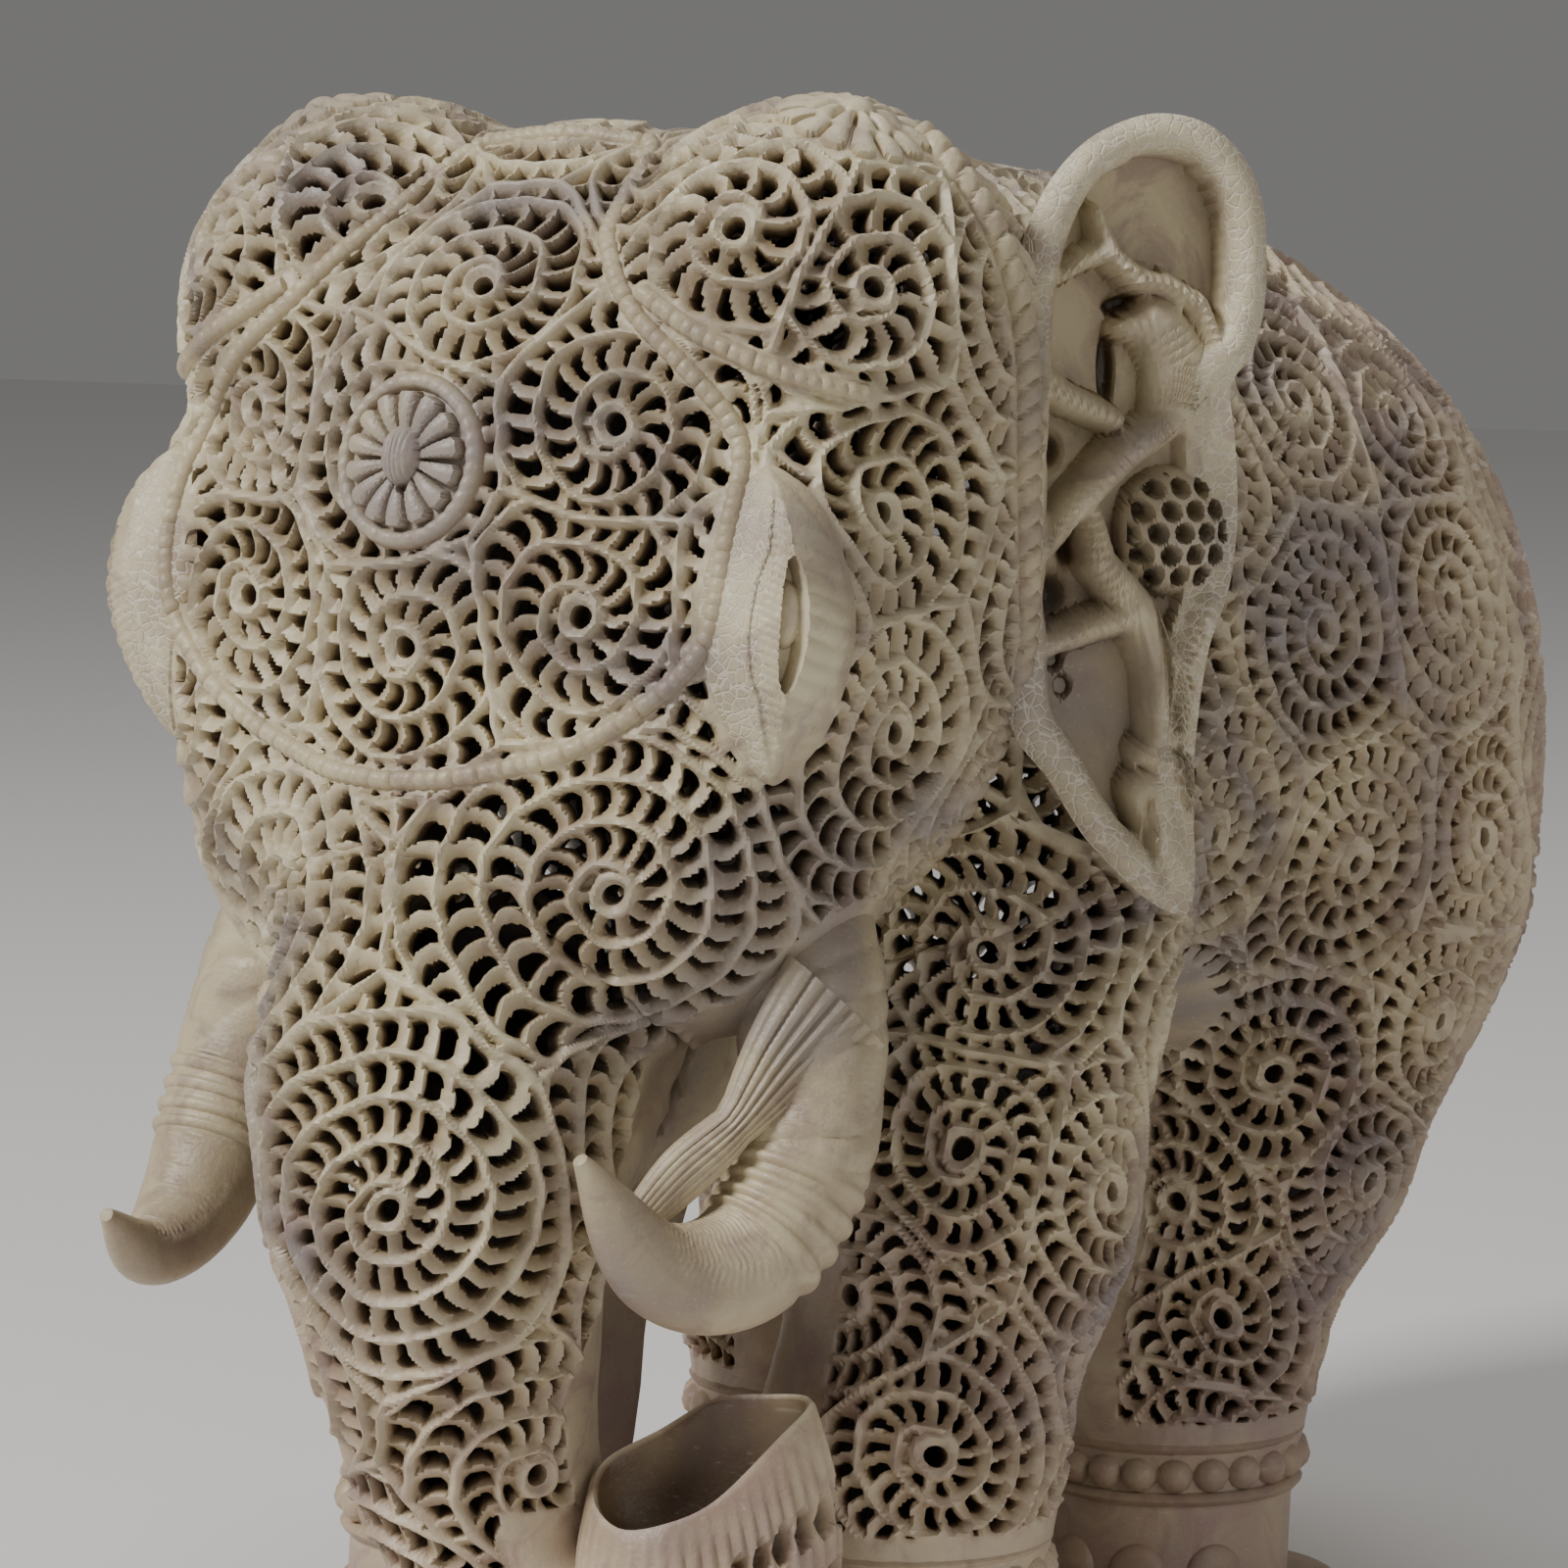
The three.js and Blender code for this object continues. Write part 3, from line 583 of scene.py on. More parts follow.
def brow_line():
    """The oval round the brow, pressed onto the head: from the front, and from above at its top."""
    half, _ = even([(x, 0, z) for x, z in BROW_OVAL], 60)
    front = press(half + (0, -190, 0), (0, 1, 0))
    crown = press(half * (1, 0, 0) + (0, -80, 330), (0, 0.25, -1))
    share = np.clip((half[:, 2] - BROW_CROWN + 6) / 6, 0, 1)[:, None]
    one = front * (1 - share) + crown * share
    return np.concatenate([one, one[-2:0:-1] * (-1, 1, 1)])


def dome_line(side):
    """The band under one dome, pressed onto the head from the front."""
    half, _ = even([(side * (x + 30), -190, z) for x, z in DOME_BAND], 24)
    return press(half, (-side * 0.28, 1, 0))


def collar_line(side):
    """The roped edge behind the head, pressed onto the skin towards the middle of the neck."""
    line, _ = even(np.array(COLLAR, float) * (side, 1, 1), 90)
    inward = unit(np.array((0, -20, 215.0)) - line)
    return crossing(figure, line - 25 * inward, inward, 1.0, 120, False)


def line_gap(p, line):
    """Distance from places to the nearest point of a close line of points."""
    best = np.full(len(p), np.inf)
    for point in line:
        q = p - point
        best = np.minimum(best, (q * q).sum(1))
    return np.sqrt(best)


def ornaments():
    """Lines and middles of the carving that stands on the skin, worked out once."""
    made = {"brow": brow_line(), "rosette": press((0, -190, ROSETTE_HEIGHT), (0, 1, 0))[0]}
    for side, name in ((1, "left"), (-1, "right")):
        made["dome_" + name] = dome_line(side)
        made["collar_" + name] = collar_line(side)
        made["cap_" + name] = press((side * CAP_FLOWER[0], *CAP_FLOWER[1:]), (0, 0, -1))[0]
        out = unit(np.array(EYE_OUT, float) * (side, 1, 1))
        made["eye_" + name] = press(np.array(EYE_MIDDLE) * (side, 1, 1) + 30 * out, -out)[0]
        made["tusk_" + name] = even(TUSKS[name], 40)[0]
        made["sheath_" + name] = even(LIP_PATH if side < 0 else SHEATH_PATH, 20)[0]
    return made


def plain_zones(p, n, name, made):
    """How far each place is inside the stone that is left whole, in millimetres."""
    x, y, z = p.T
    side = np.abs(x)
    found = np.full(len(p), -20.0)
    def add(value):
        np.maximum(found, value, out=found)
    if name in LEGS:
        add(np.minimum(118 - z, 45 - side))
        add(42 - z)
    if name == "body":
        add((-0.62 - n[:, 2]) * 30)
    if name == "trunk":
        add((n[:, 1] + 0.05 - np.clip((z - 74) / 30, 0, 1)) * 20)
        add(np.minimum(x - 16, 52 - z))
        add(8 - z)
    if name in ("head", "trunk"):
        add(np.minimum(142 - z, y + 96))
        add(ROSETTE_RADIUS - np.linalg.norm(p - made["rosette"], axis=1))
        add(BAND_HALF + 0.4 - line_gap(p, made["brow"]))
    if name == "trunk":
        return found
    for which, sign in (("left", 1), ("right", -1)):
        add(ROPE_HALF + 0.6 - line_gap(p, made["collar_" + which]))
        if name != "head":
            continue
        add(BAND_HALF + 0.4 - line_gap(p, made["dome_" + which]))
        add(CAP_RADIUS - np.linalg.norm(p - made["cap_" + which], axis=1))
        out = unit(np.array(EYE_OUT, float) * (sign, 1, 1))
        q = p - made["eye_" + which]
        sideways = q @ np.cross((0, 0, 1), out)
        add((1 - np.hypot(sideways / 12.5, q[:, 2] / 26)) * 12)
        add(16 - line_gap(p, made["tusk_" + which]))
        add(10 - line_gap(p, made["sheath_" + which]))
    return found


def skin_shell(name, step, table, made):
    """One mass of the figure as a pierced skin: relief on its outside, holes with walls, and a smooth inside."""
    data = skin_grid(name, step)
    rows, columns = data.shape[:2]
    faces = capped_faces(rows, columns)
    data = data.reshape(-1, 7)
    data, faces = cut(data, faces, 0.5 - data[:, 6])
    p, n = data[:, :3], unit(data[:, 3:6])
    wander = 0.9 * np.sin(p[:, [1, 2, 0]] * 0.19 + 1.3) + 0.3 * np.sin(p[:, [2, 0, 1]] * 0.83)
    stone, relief = lattice(p + wander, n, table)
    plain = plain_zones(p, n, name, made)
    share = np.clip(plain / 1.2 + 1, 0, 1)
    keep = np.maximum(stone, plain)
    height = relief * (1 - share) + 0.3 * share
    rounded = np.clip(1 - keep / 0.7, 0, 1) ** 2 * 0.35
    whole = np.concatenate([p + n * (height - rounded)[:, None], p - n * SKIN_THICKNESS,
                            height[:, None], share[:, None]], 1)
    whole, faces = cut(whole, faces, keep)
    made_parts = []
    for sign in (1, -1) if name in HALVED else (0,):
        part, part_faces = cut(whole, faces, sign * whole[:, 0]) if sign else (whole, faces)
        points, part_faces = walled(part[:, :3], part[:, 3:6], part_faces)
        # Painted shade: low relief is darkened as shade and dust in the cuts, and the inner skin is set to -1, the
        # dark unlit inside, which shades down the hole walls
        tone = np.concatenate([0.3 + 0.5 * (part[:, 6] + LEAF_DROP - LEAF_HEIGHT) / STEM_HEIGHT,
                               np.full(len(part), -1.0)])
        made_parts.append((sign, points, part_faces, tone))
    return made_parts


# Pieces that stand on the skin

def bar(line, out, half, height, sides=10, closed=False, sunk=0.0):
    """A bar along a line: at each row an oval across the line, half wide and height high, lying along out.
    Open ends close to a point; a closed bar runs into itself."""
    n = len(line)
    ahead = np.roll(line, -1, 0) - np.roll(line, 1, 0) if closed else np.gradient(line, axis=0)
    tangent = unit(ahead)
    side = unit(np.cross(tangent, out))
    lift = np.cross(side, tangent)
    angle = np.arange(sides) / sides * 2 * math.pi
    half, height = np.broadcast_to(half, (n, sides)), np.broadcast_to(height, (n, sides))
    points = (line[:, None] - lift[:, None] * sunk + side[:, None] * (half * np.cos(angle))[..., None]
              + lift[:, None] * (height * np.sin(angle))[..., None])
    if closed:
        faces = grid_faces(n + 1, sides) % (n * sides)
    else:
        points[0], points[-1] = line[0] - lift[0] * sunk, line[-1] - lift[-1] * sunk
        faces = capped_faces(n, sides)
    return packed(points.reshape(-1, 3), faces[:, ::-1])


def joined(parts):
    """Several meshes as one: corners in a row, faces counted on."""
    points, faces, start = [], [], 0
    for p, f in parts:
        points.append(p)
        faces.append(f + start)
        start += len(p)
    return np.concatenate(points), np.concatenate(faces)


def notched(run, spacing, width):
    """One between notches and nought in them: a notch of that width every spacing along a run."""
    away = np.abs((run / spacing) % 1 - 0.5) * spacing
    return np.clip((spacing / 2 - away) / width, 0, 1) ** 0.5


def run_of(line):
    """The length passed at each point of a line."""
    return np.concatenate([[0], np.cumsum(np.linalg.norm(np.diff(line, axis=0), axis=1))])


def band(line, closed):
    """A band of square beads: a flat bar with a notch after each bead."""
    count = int(run_of(line)[-1] / 0.5)
    line, length = even(line, count, closed)
    run = np.arange(len(line)) * length / count
    spacing = length / round(length / BEAD_PITCH)
    full = notched(run, spacing, 0.7)[:, None]
    return bar(line, slope(line), BAND_HALF * (0.85 + 0.15 * full), 2.1 * (0.6 + 0.4 * full), 12, closed)


def rope(line):
    """A roped edge: a round bar whose notches wind round it."""
    count = int(run_of(line)[-1] / 0.45)
    line, length = even(line, count)
    run = np.arange(len(line)) * length / count
    winding = run[:, None] + 2.2 * np.sin(np.arange(14) / 14 * 2 * math.pi)[None, :]
    full = notched(winding, 4.2, 0.9)
    return bar(line, slope(line), ROPE_HALF * (0.72 + 0.28 * full), 3.4 * (0.62 + 0.38 * full), 14)


def plaque(middle, out, outline, height, rings, around, scaly=0, sunk=2.5, depth=30):
    """Low carving pressed onto the skin round a middle: rings grow to the outline, each corner stands by its
    height over the skin, and the edge turns in below the skin to close."""
    out = unit(out)
    up = unit(np.array([0, 0, 1.0]) - out[2] * out) if abs(out[2]) < 0.95 else unit(np.cross((1, 0, 0), out))
    side = np.cross(up, out)
    share = np.linspace(0, 1, rings + 1)
    angle = np.arange(around) / around * 2 * math.pi
    x, y = outline(angle)
    x, y = share[:, None] * x, share[:, None] * y
    above = middle + depth * out + x[..., None] * side + y[..., None] * up
    foot = press(above.reshape(-1, 3), -out, 0.8).reshape(above.shape)
    lift = height(share[:, None] + 0 * x, angle[None, :] + 0 * x, x, y)
    points = foot + lift[..., None] * out
    low = foot[-1] - sunk * out
    points = np.concatenate([points, low[None], np.broadcast_to(low.mean(0), low.shape)[None]])
    # Painted shade: the carving darkens where it lies low, in the gaps between petals and lids and on its sunk edge
    tone = np.concatenate([np.clip(0.25 + lift / 3.2, -0.8, 1), np.zeros((2, around))])
    scaled = np.concatenate([x * scaly < np.minimum(0.2 * np.abs(y) - 6.2, -2.0), np.zeros((2, around))])
    data = np.concatenate([points, tone[..., None], scaled[..., None]], 2)
    return packed(data.reshape(-1, 5), capped_faces(len(points), around))


def toned(parts):
    """Joined plaques as corners, faces, tone and scales."""
    data, faces = joined(parts)
    return data[:, :3], faces, data[:, 3], data[:, 4]


def rosette_height(share, angle, x, y):
    """Flower in a beaded ring: beads at the edge, petals with ribbed edges and deep gaps, and a ribbed boss."""
    r = share * ROSETTE_RADIUS
    beads = 2.3 * bump(r - 13.8, 1.6) * (0.8 + 0.2 * np.abs(np.cos(angle * 17)))
    leaf = np.abs(np.cos(angle * 7))
    tip = 11.8 - 2.2 * (1 - leaf) ** 2
    ribs = 0.25 * np.abs(np.sin(r * 2.6 + leaf * 5)) * (leaf < 0.8)
    petal = 1.0 + 2.4 * np.sin(np.clip((r - 2.5) / (tip - 1.0), 0, 1) * 2.5) * (0.35 + 0.65 * leaf) + ribs
    petal = np.where((r < tip) & (leaf > 0.3), petal, -1.6)
    petal = np.where(np.hypot(x - 1, y + 4.6) < 1.3, -2.5, petal)
    boss_gap = np.hypot(x / 3.6, (y - 0.6) / 5.2)
    boss = 1.6 + 3.4 * np.sqrt(np.maximum(1 - boss_gap ** 2, 0)) + 0.3 * np.abs(np.sin(x * 3.4))
    return np.maximum(np.maximum(beads, petal), np.where(boss_gap < 1, boss, -3))


def cap_height(share, angle, x, y):
    """Flower on a dome: two rings of notched petals round a dimpled boss."""
    r = share * CAP_RADIUS
    leaf, inner_leaf = np.abs(np.cos(angle * 7)), np.abs(np.sin(angle * 5))
    rim = 11.0 + 3.0 * leaf ** 0.5
    petal = 0.5 + 1.6 * leaf ** 0.5 * np.sin(np.clip((r - 5) / 9.5, 0, 1) * 2.7)
    petal = np.where((r < rim) & (leaf > 0.22), petal, -0.9)
    small = 1.2 + 1.7 * inner_leaf * np.sin(np.clip((r - 1) / 7.4, 0, 1) * 2.8)
    small = np.where((r < 8.2) & (inner_leaf > 0.25), small, -0.4)
    boss = np.where(r < 3.4, 1.2 + 2.6 * np.sqrt(np.maximum(1 - (r / 3.5) ** 2, 0)), -1)
    return np.maximum(np.maximum(petal, small), boss)


def flowers(made):
    """The flower on the brow and one on each dome, each looking straight out of the stone."""
    parts = []
    for name, radius, height, rings, around in (("rosette", ROSETTE_RADIUS, rosette_height, 44, 180),
                                                ("cap_left", CAP_RADIUS, cap_height, 34, 130),
                                                ("cap_right", CAP_RADIUS, cap_height, 34, 130)):
        def circle(angle):
            return radius * np.sin(angle), radius * np.cos(angle)
        parts.append(plaque(made[name], slope(made[name][None])[0], circle, height, rings, around))
    return toned(parts)


EYE_HALF_HEIGHT, EYE_HALF_WIDTH = 27, 12.8


def eye_outline(angle):
    """An upright leaf with pointed ends."""
    across, up = np.sin(angle), np.cos(angle)
    return (EYE_HALF_WIDTH * np.sign(across) * np.abs(across) ** 1.35,
            EYE_HALF_HEIGHT * np.sign(up) * np.abs(up) ** 1.15)


def eye_height(side):
    def height(share, angle, x, y):
        """Two lids that rise in a hollow curve to the edge of a slit, with a small ball in it."""
        x = x * side
        middle = -0.8 + 0.6 * np.sin(y / 9)
        off = x - middle
        slit = 2.3 * np.sqrt(np.maximum(1 - ((y - 1) / 11.5) ** 2, 0))
        reach = EYE_HALF_WIDTH * np.maximum(1 - np.abs(y / EYE_HALF_HEIGHT) ** 1.7, 0.02)
        q = np.clip((np.abs(off) - slit) / np.maximum(reach - slit, 0.5), 0, 1)
        ridge = 4.2 * (1 - 0.45 * np.abs(y / EYE_HALF_HEIGHT))
        lid = 0.9 + ridge * (0.7 * (1 - q) ** 1.6 + 0.3 * (1 - q ** 4)) * (1 - share ** 8)
        seam = bump(off + 0.46 * (reach - slit) + slit, 0.8) * (x < 0) * 0.7
        rib = 0.45 * np.abs(np.sin((y - 0.5 * np.abs(x)) * 2.0))
        carved = np.where(off < 0, np.where(q < 0.45, rib, 0.0), 0.5 * np.abs(np.sin(y * 0.85 + 0.32 * x)))
        lid = lid + (carved + seam) * np.clip((1 - share) * 6, 0, 1)
        ball_gap = np.hypot((off - 0.1) / 2.5, (y - 2.5) / 5.6)
        ball = 0.4 + 2.7 * np.sqrt(np.maximum(1 - ball_gap ** 2, 0))
        inside = np.clip((slit - np.abs(off)) / 0.7, 0, 1)
        return lid * (1 - inside) + np.maximum(ball * (ball_gap < 1), 0.3) * inside
    return height


def eyes(made):
    """Both eyes, each looking out sideways and forwards."""
    parts = []
    for side, which in ((1, "left"), (-1, "right")):
        out = unit(np.array(EYE_OUT, float) * (side, 1, 1))
        parts.append(plaque(made["eye_" + which], out, eye_outline, eye_height(side), 60, 150, side))
    return toned(parts)


def tusk(points):
    """A round bar that narrows to a pointed tip, its radius read off a smooth table. Rings stand at its bend, leaves
    are cut before them, and a row of slanting strokes runs on towards the tip."""
    line, length = even(points, 300)
    v = np.linspace(0, 1, len(line))
    radius = curve(np.array(TUSK_RADII, float)[:, None], v * (len(TUSK_RADII) - 1))[:, 0]
    radius[-1] = 0
    for place in TUSK_RINGS:
        radius = radius + 0.8 * bump((v - place) * length, 1.1) - 0.3 * bump((v - place - 0.017) * length, 0.9)
    lift = frames_along(line, (1, 0, 0))[2]
    angle = np.arange(72) / 72 * 2 * math.pi
    run = v[:, None] * length
    leaf = np.abs(np.sin(2 * angle[None, :] + 0.35 * run + 1.2 * np.sin(0.22 * run)))
    ribs = 0.16 * np.abs(np.sin(2.3 * run + 7 * leaf))
    leaves = (0.75 * leaf ** 0.5 + ribs - 0.5) * ((v > 0.08) & (v < 0.455))[:, None]
    across = (angle[None, :] * 4 / math.pi) % 1 - 0.5
    strokes = 0.22 * np.abs(np.sin(2.1 * run + 5 * np.abs(across))) * ((v > 0.6) & (v < 0.9))[:, None]
    strokes = strokes * (np.sin(angle)[None, :] > 0.2)
    radius = np.maximum(radius[:, None] + leaves - strokes * (radius[:, None] > 3), 0)
    return bar(line, lift, radius, radius, 72)


def sheath(side):
    """A fan of flutes laid over the tusk's root: a flat bar that narrows to its tip, its top cut in flutes."""
    line, length = even(LIP_PATH if side < 0 else SHEATH_PATH, 110)
    v = np.linspace(0, 1, len(line))[:, None]
    out = unit(slope(line) * 0.5 + (side * 0.75, -0.75, 0.35))
    angle = np.arange(96) / 96 * 2 * math.pi
    fan, leaf = np.clip(1 - v / SHEATH_FAN_END, 0, 1) ** 0.9, np.sin(np.clip((v - 0.5) / 0.5, 0, 1) * math.pi)
    half = SHEATH_NECK + SHEATH_FAN[side] * fan + 1.3 * leaf
    top = np.sin(angle) > 0
    flute = SHEATH_FLUTE * np.abs(np.cos(np.cos(angle) * 13)) ** 0.7 * top
    cords = (np.cos(angle) > 0.62) & top & (side > 0) | (np.cos(angle) < -0.62) & top & (side < 0)
    beads = 0.35 * np.abs(np.sin(v * length * 2.4)) * cords
    height = 3.6 - 1.8 * v + (flute + beads) * np.clip(1.15 - v, 0.25, 1)
    return bar(line, out, half, height, 96)


ANKLET_HEIGHT = 32


def leg_at(leg, z):
    """The middle of a leg's lowest bone at a height."""
    knee, foot = np.array(leg[0][-2], float), np.array(leg[0][-1], float)
    return foot + (knee - foot) * (z - foot[2]) / (knee[2] - foot[2])


def ring_round(leg, z, count, radius):
    """A level ring round a leg, and the way out of the leg at each of its points."""
    angle = np.arange(count) / count * 2 * math.pi
    out = np.stack([np.cos(angle), np.sin(angle), 0 * angle], 1)
    return leg_at(leg, z) + radius * out, out


def anklet(leg):
    """A ring of round beads between two thin cords."""
    radius = leg[1][-1]
    parts = []
    line, out = ring_round(leg, ANKLET_HEIGHT, 300, radius)
    beads = np.sqrt(np.maximum(1 - ((np.arange(300) / 300 * 22 % 1 - 0.5) * 2) ** 2, 0.05))[:, None]
    parts.append(bar(line, out, 3.2 * beads + 0.4, 3.4 * beads + 0.4, 12, True))
    for z, size in ((ANKLET_HEIGHT + 5.2, 1.5), (ANKLET_HEIGHT + 8, 1.1), (ANKLET_HEIGHT - 4.8, 1.5)):
        line, out = ring_round(leg, z, 120, radius)
        parts.append(bar(line, out, size, size + 0.9, 8, True))
    return joined(parts)


def nails(leg):
    """Nails: half-sunk ellipsoids round the front of the foot."""
    parts = []
    angle = np.radians(np.array([-54, -18, 18, 54]) - 90)
    foot = leg_at(leg, 12)
    u, v = np.meshgrid(np.arange(20) / 20 * 2 * math.pi, np.linspace(0, math.pi, 13))
    ball = np.stack([np.sin(v) * np.cos(u), np.sin(v) * np.sin(u), np.cos(v)], -1)
    for a in angle:
        out = np.array([math.cos(a), math.sin(a), 0])
        across = np.array([-math.sin(a), math.cos(a), 0])
        place = foot + out * (leg[1][-1] - 0.5)
        points = place + ball[..., :1] * out * 2.8 + ball[..., 1:2] * across * 6 + ball[..., 2:] * (0, 0, 6.5)
        parts.append(packed(points.reshape(-1, 3), capped_faces(*v.shape)[:, ::-1]))
    return joined(parts)


TAIL = ((0, 162, 241), (0, 183, 224), (3, 194, 200), (6, 193, 160), (9, 182, 120), (10, 174, 96), (10, 172, 80))
TAIL_RADII = (6, 6.5, 5, 4, 3.5, 6, 1.5)


def tail():
    """A round bar down the rump that ends in a fluted tuft."""
    line, _ = even(TAIL, 120)
    v = np.linspace(0, 1, len(line))
    radius = curve(np.array(TAIL_RADII, float)[:, None], v * (len(TAIL_RADII) - 1))
    angle = np.arange(40) / 40 * 2 * math.pi
    flutes = 1 + 0.14 * np.cos(angle * 9)[None, :] * np.clip((v - 0.62) / 0.08, 0, 1)[:, None]
    rings = 1 + 0.12 * notched(v * 130, 4, 0.8)[:, None] * (v < 0.62)[:, None]
    radius = radius * flutes * rings
    return bar(line, np.broadcast_to((0.0, 1.0, 0.0), line.shape), radius, radius, 40)


BASE_HEIGHT, BASE_HALF_WIDTH, BASE_FRONT, BASE_REAR, BASE_CORNER, BASE_CHAMFER = 8, 76, -66, 100, 26, 2.4


def base():
    """The low base: a rounded oblong drawn up through its rounded edges, with a groove round it."""
    corner = np.radians(np.arange(0, 91, 5))
    arc = [(np.cos(corner + k * math.pi / 2), np.sin(corner + k * math.pi / 2)) for k in range(4)]
    signs = ((1, 1), (-1, 1), (-1, -1), (1, -1))
    middle_y, half_y = (BASE_FRONT + BASE_REAR) / 2, (BASE_REAR - BASE_FRONT) / 2
    flat_x, flat_y = BASE_HALF_WIDTH - BASE_CORNER, half_y - BASE_CORNER
    edge_x = np.concatenate([sx * flat_x + BASE_CORNER * c for (sx, _), (c, _) in zip(signs, arc)])
    edge_y = np.concatenate([sy * flat_y + BASE_CORNER * s for (_, sy), (_, s) in zip(signs, arc)])
    turn = np.radians(np.arange(0, 91, 15))
    low = [(-BASE_CHAMFER * (1 - math.sin(t)), BASE_CHAMFER * (1 - math.cos(t))) for t in turn]
    high = [(-BASE_CHAMFER * (1 - math.cos(t)), BASE_HEIGHT - BASE_CHAMFER * (1 - math.sin(t))) for t in turn]
    profile = low + [(0, 3.4), (-0.6, 3.8), (-0.6, 4.2), (0, 4.6)] + high
    rows = []
    for inset, z in profile:
        scale_x, scale_y = 1 + inset / BASE_HALF_WIDTH, 1 + inset / half_y
        rows.append(np.stack([edge_x * scale_x, middle_y + edge_y * scale_y, np.full(len(edge_x), float(z))], 1))
    bottom = np.tile([0, middle_y, 0.0], (len(edge_x), 1))
    top = bottom + (0, 0, BASE_HEIGHT)
    points = np.stack([bottom, *rows, top])
    return packed(points.reshape(-1, 3), capped_faces(*points.shape[:2]))


# The ear's sheet: where it leaves the head, how far it is turned out, and the middle of its outline
EAR_ROOT = (73, -37)
EAR_TURN = math.radians(50)
EAR_MIDDLE = (21, 232)
EAR_OUTLINE = ((-2, 258), (0, 270), (3.5, 279), (8.5, 286), (15, 291), (24.5, 294), (34, 292.5), (41, 287), (45, 279),
               (46, 269), (45.5, 259), (43, 251), (39.5, 246), (40.5, 236), (41, 222), (39.5, 210), (36, 200),
               (34, 188), (33, 175), (33.5, 160), (32.5, 152.5), (28, 152.8), (22, 157), (12.6, 166.5),
               (5.8, 177), (-1, 186), (-3, 200), (-3, 228))
EAR_DISH = -5.2
EAR_RIM_WIDTH = 7.4
# Folds inside the ear as places on its sheet, each with its half width and height
EAR_FOLDS = (
    ((15, 277, 1.4, 0.5), (17.3, 269.5, 2.4, 3.2), (22.3, 265, 2.6, 3.8), (28, 264, 2.2, 3.0), (34, 260.5, 2.2, 2.8),
     (37, 254, 2.0, 2.4), (39.5, 249, 1.6, 1.5)),
    ((8, 265, 1.4, -0.5), (12.5, 268.5, 2.2, 1.6), (17, 270, 2.4, 3.0)),
    ((20, 256, 2.0, 1.0), (27, 257, 5.4, 1.8), (31.5, 250, 6.6, 1.4), (30, 242.5, 5.6, 2.2)),
    ((1, 250.5, 3.6, 3.0), (9, 244.5, 3.2, 2.4), (18, 240.5, 2.8, 2.8)),
    ((3, 216.5, 3.4, 3.4), (11.5, 226, 3.6, 4.2), (20, 234.5, 3.9, 4.6), (28, 239.5, 3.6, 3.6)),
    ((13.5, 228, 2.2, 0.8), (16, 215, 3.6, 3.2), (23, 206.5, 4.2, 4.0), (27, 197, 4.0, 4.2), (26.5, 184, 2.8, 3.2)),
    ((2, 199.5, 3.0, 2.6), (14, 203.5, 3.2, 3.0), (22, 206, 3.4, 3.4)),
    ((36, 207, 3.2, 2.2), (31, 196, 4.4, 2.6), (30, 184, 3.0, 2.6)),
    ((24.5, 181, 2.8, 3.0), (31, 178, 2.8, 3.6), (32.5, 173, 2.2, 2.6)),
    ((25, 174, 4.6, 2.6), (28, 165, 4.6, 3.0), (32, 156, 2.6, 2.2)),
)
# How softly the folds grow out of the dish
EAR_SOFT = 1.8
# The pierced bulb: middle, half axes, height
EAR_BULB = ((30, 220.3), (10, 11.6), 4.8)
# Pits: middle, half axes, depth
EAR_PITS = (((21.5, 260), (3.2, 1.8), 5), ((18.8, 249), (1.5, 6.5), 4), ((8, 234.5), (2.6, 3.6), 3),
            ((11.5, 218), (1.8, 4), 3), ((8, 209), (4, 4.4), 3), ((9.2, 197.6), (1.8, 1.8), 4),
            ((11, 192.8), (1.6, 1.7), 4), ((25, 167), (1.1, 7), 3))
# Radius of the bulb's holes and the pitch of their rows
BULB_HOLE = 1.5
BULB_PITCH = 4.5


def line_distance(x, y, points):
    """Distance in a plane to a line of straight stretches."""
    best = np.full(x.shape, np.inf)
    for (ax, ay), (bx, by) in zip(points, points[1:]):
        dx, dy = bx - ax, by - ay
        share = np.clip(((x - ax) * dx + (y - ay) * dy) / (dx * dx + dy * dy), 0, 1)
        best = np.minimum(best, np.hypot(x - ax - share * dx, y - ay - share * dy))
    return best


def dome(gap, top):
    """A round rise from the dish to its top within a gap of one, and far below outside it."""
    return np.where(gap < 1, EAR_DISH + (top - EAR_DISH) * np.sqrt(np.maximum(1 - gap ** 2, 0)), -20)


def fold_height(s, z, fold):
    """A rounded fold whose width and height change along it, cut across with fine strokes."""
    best, run = np.full(s.shape, -20.0), 0.0
    for (ax, az, ahalf, atop), (bx, bz, bhalf, btop) in zip(fold, fold[1:]):
        dx, dz = bx - ax, bz - az
        length = math.hypot(dx, dz)
        share = np.clip(((s - ax) * dx + (z - az) * dz) / length ** 2, 0, 1)
        gap = np.hypot(s - ax - share * dx, z - az - share * dz) / (ahalf + (bhalf - ahalf) * share)
        top = atop + (btop - atop) * share + 0.28 * np.sin((run + share * length) * 3.6)
        best = np.maximum(best, dome(gap, top))
        run += length
    return best


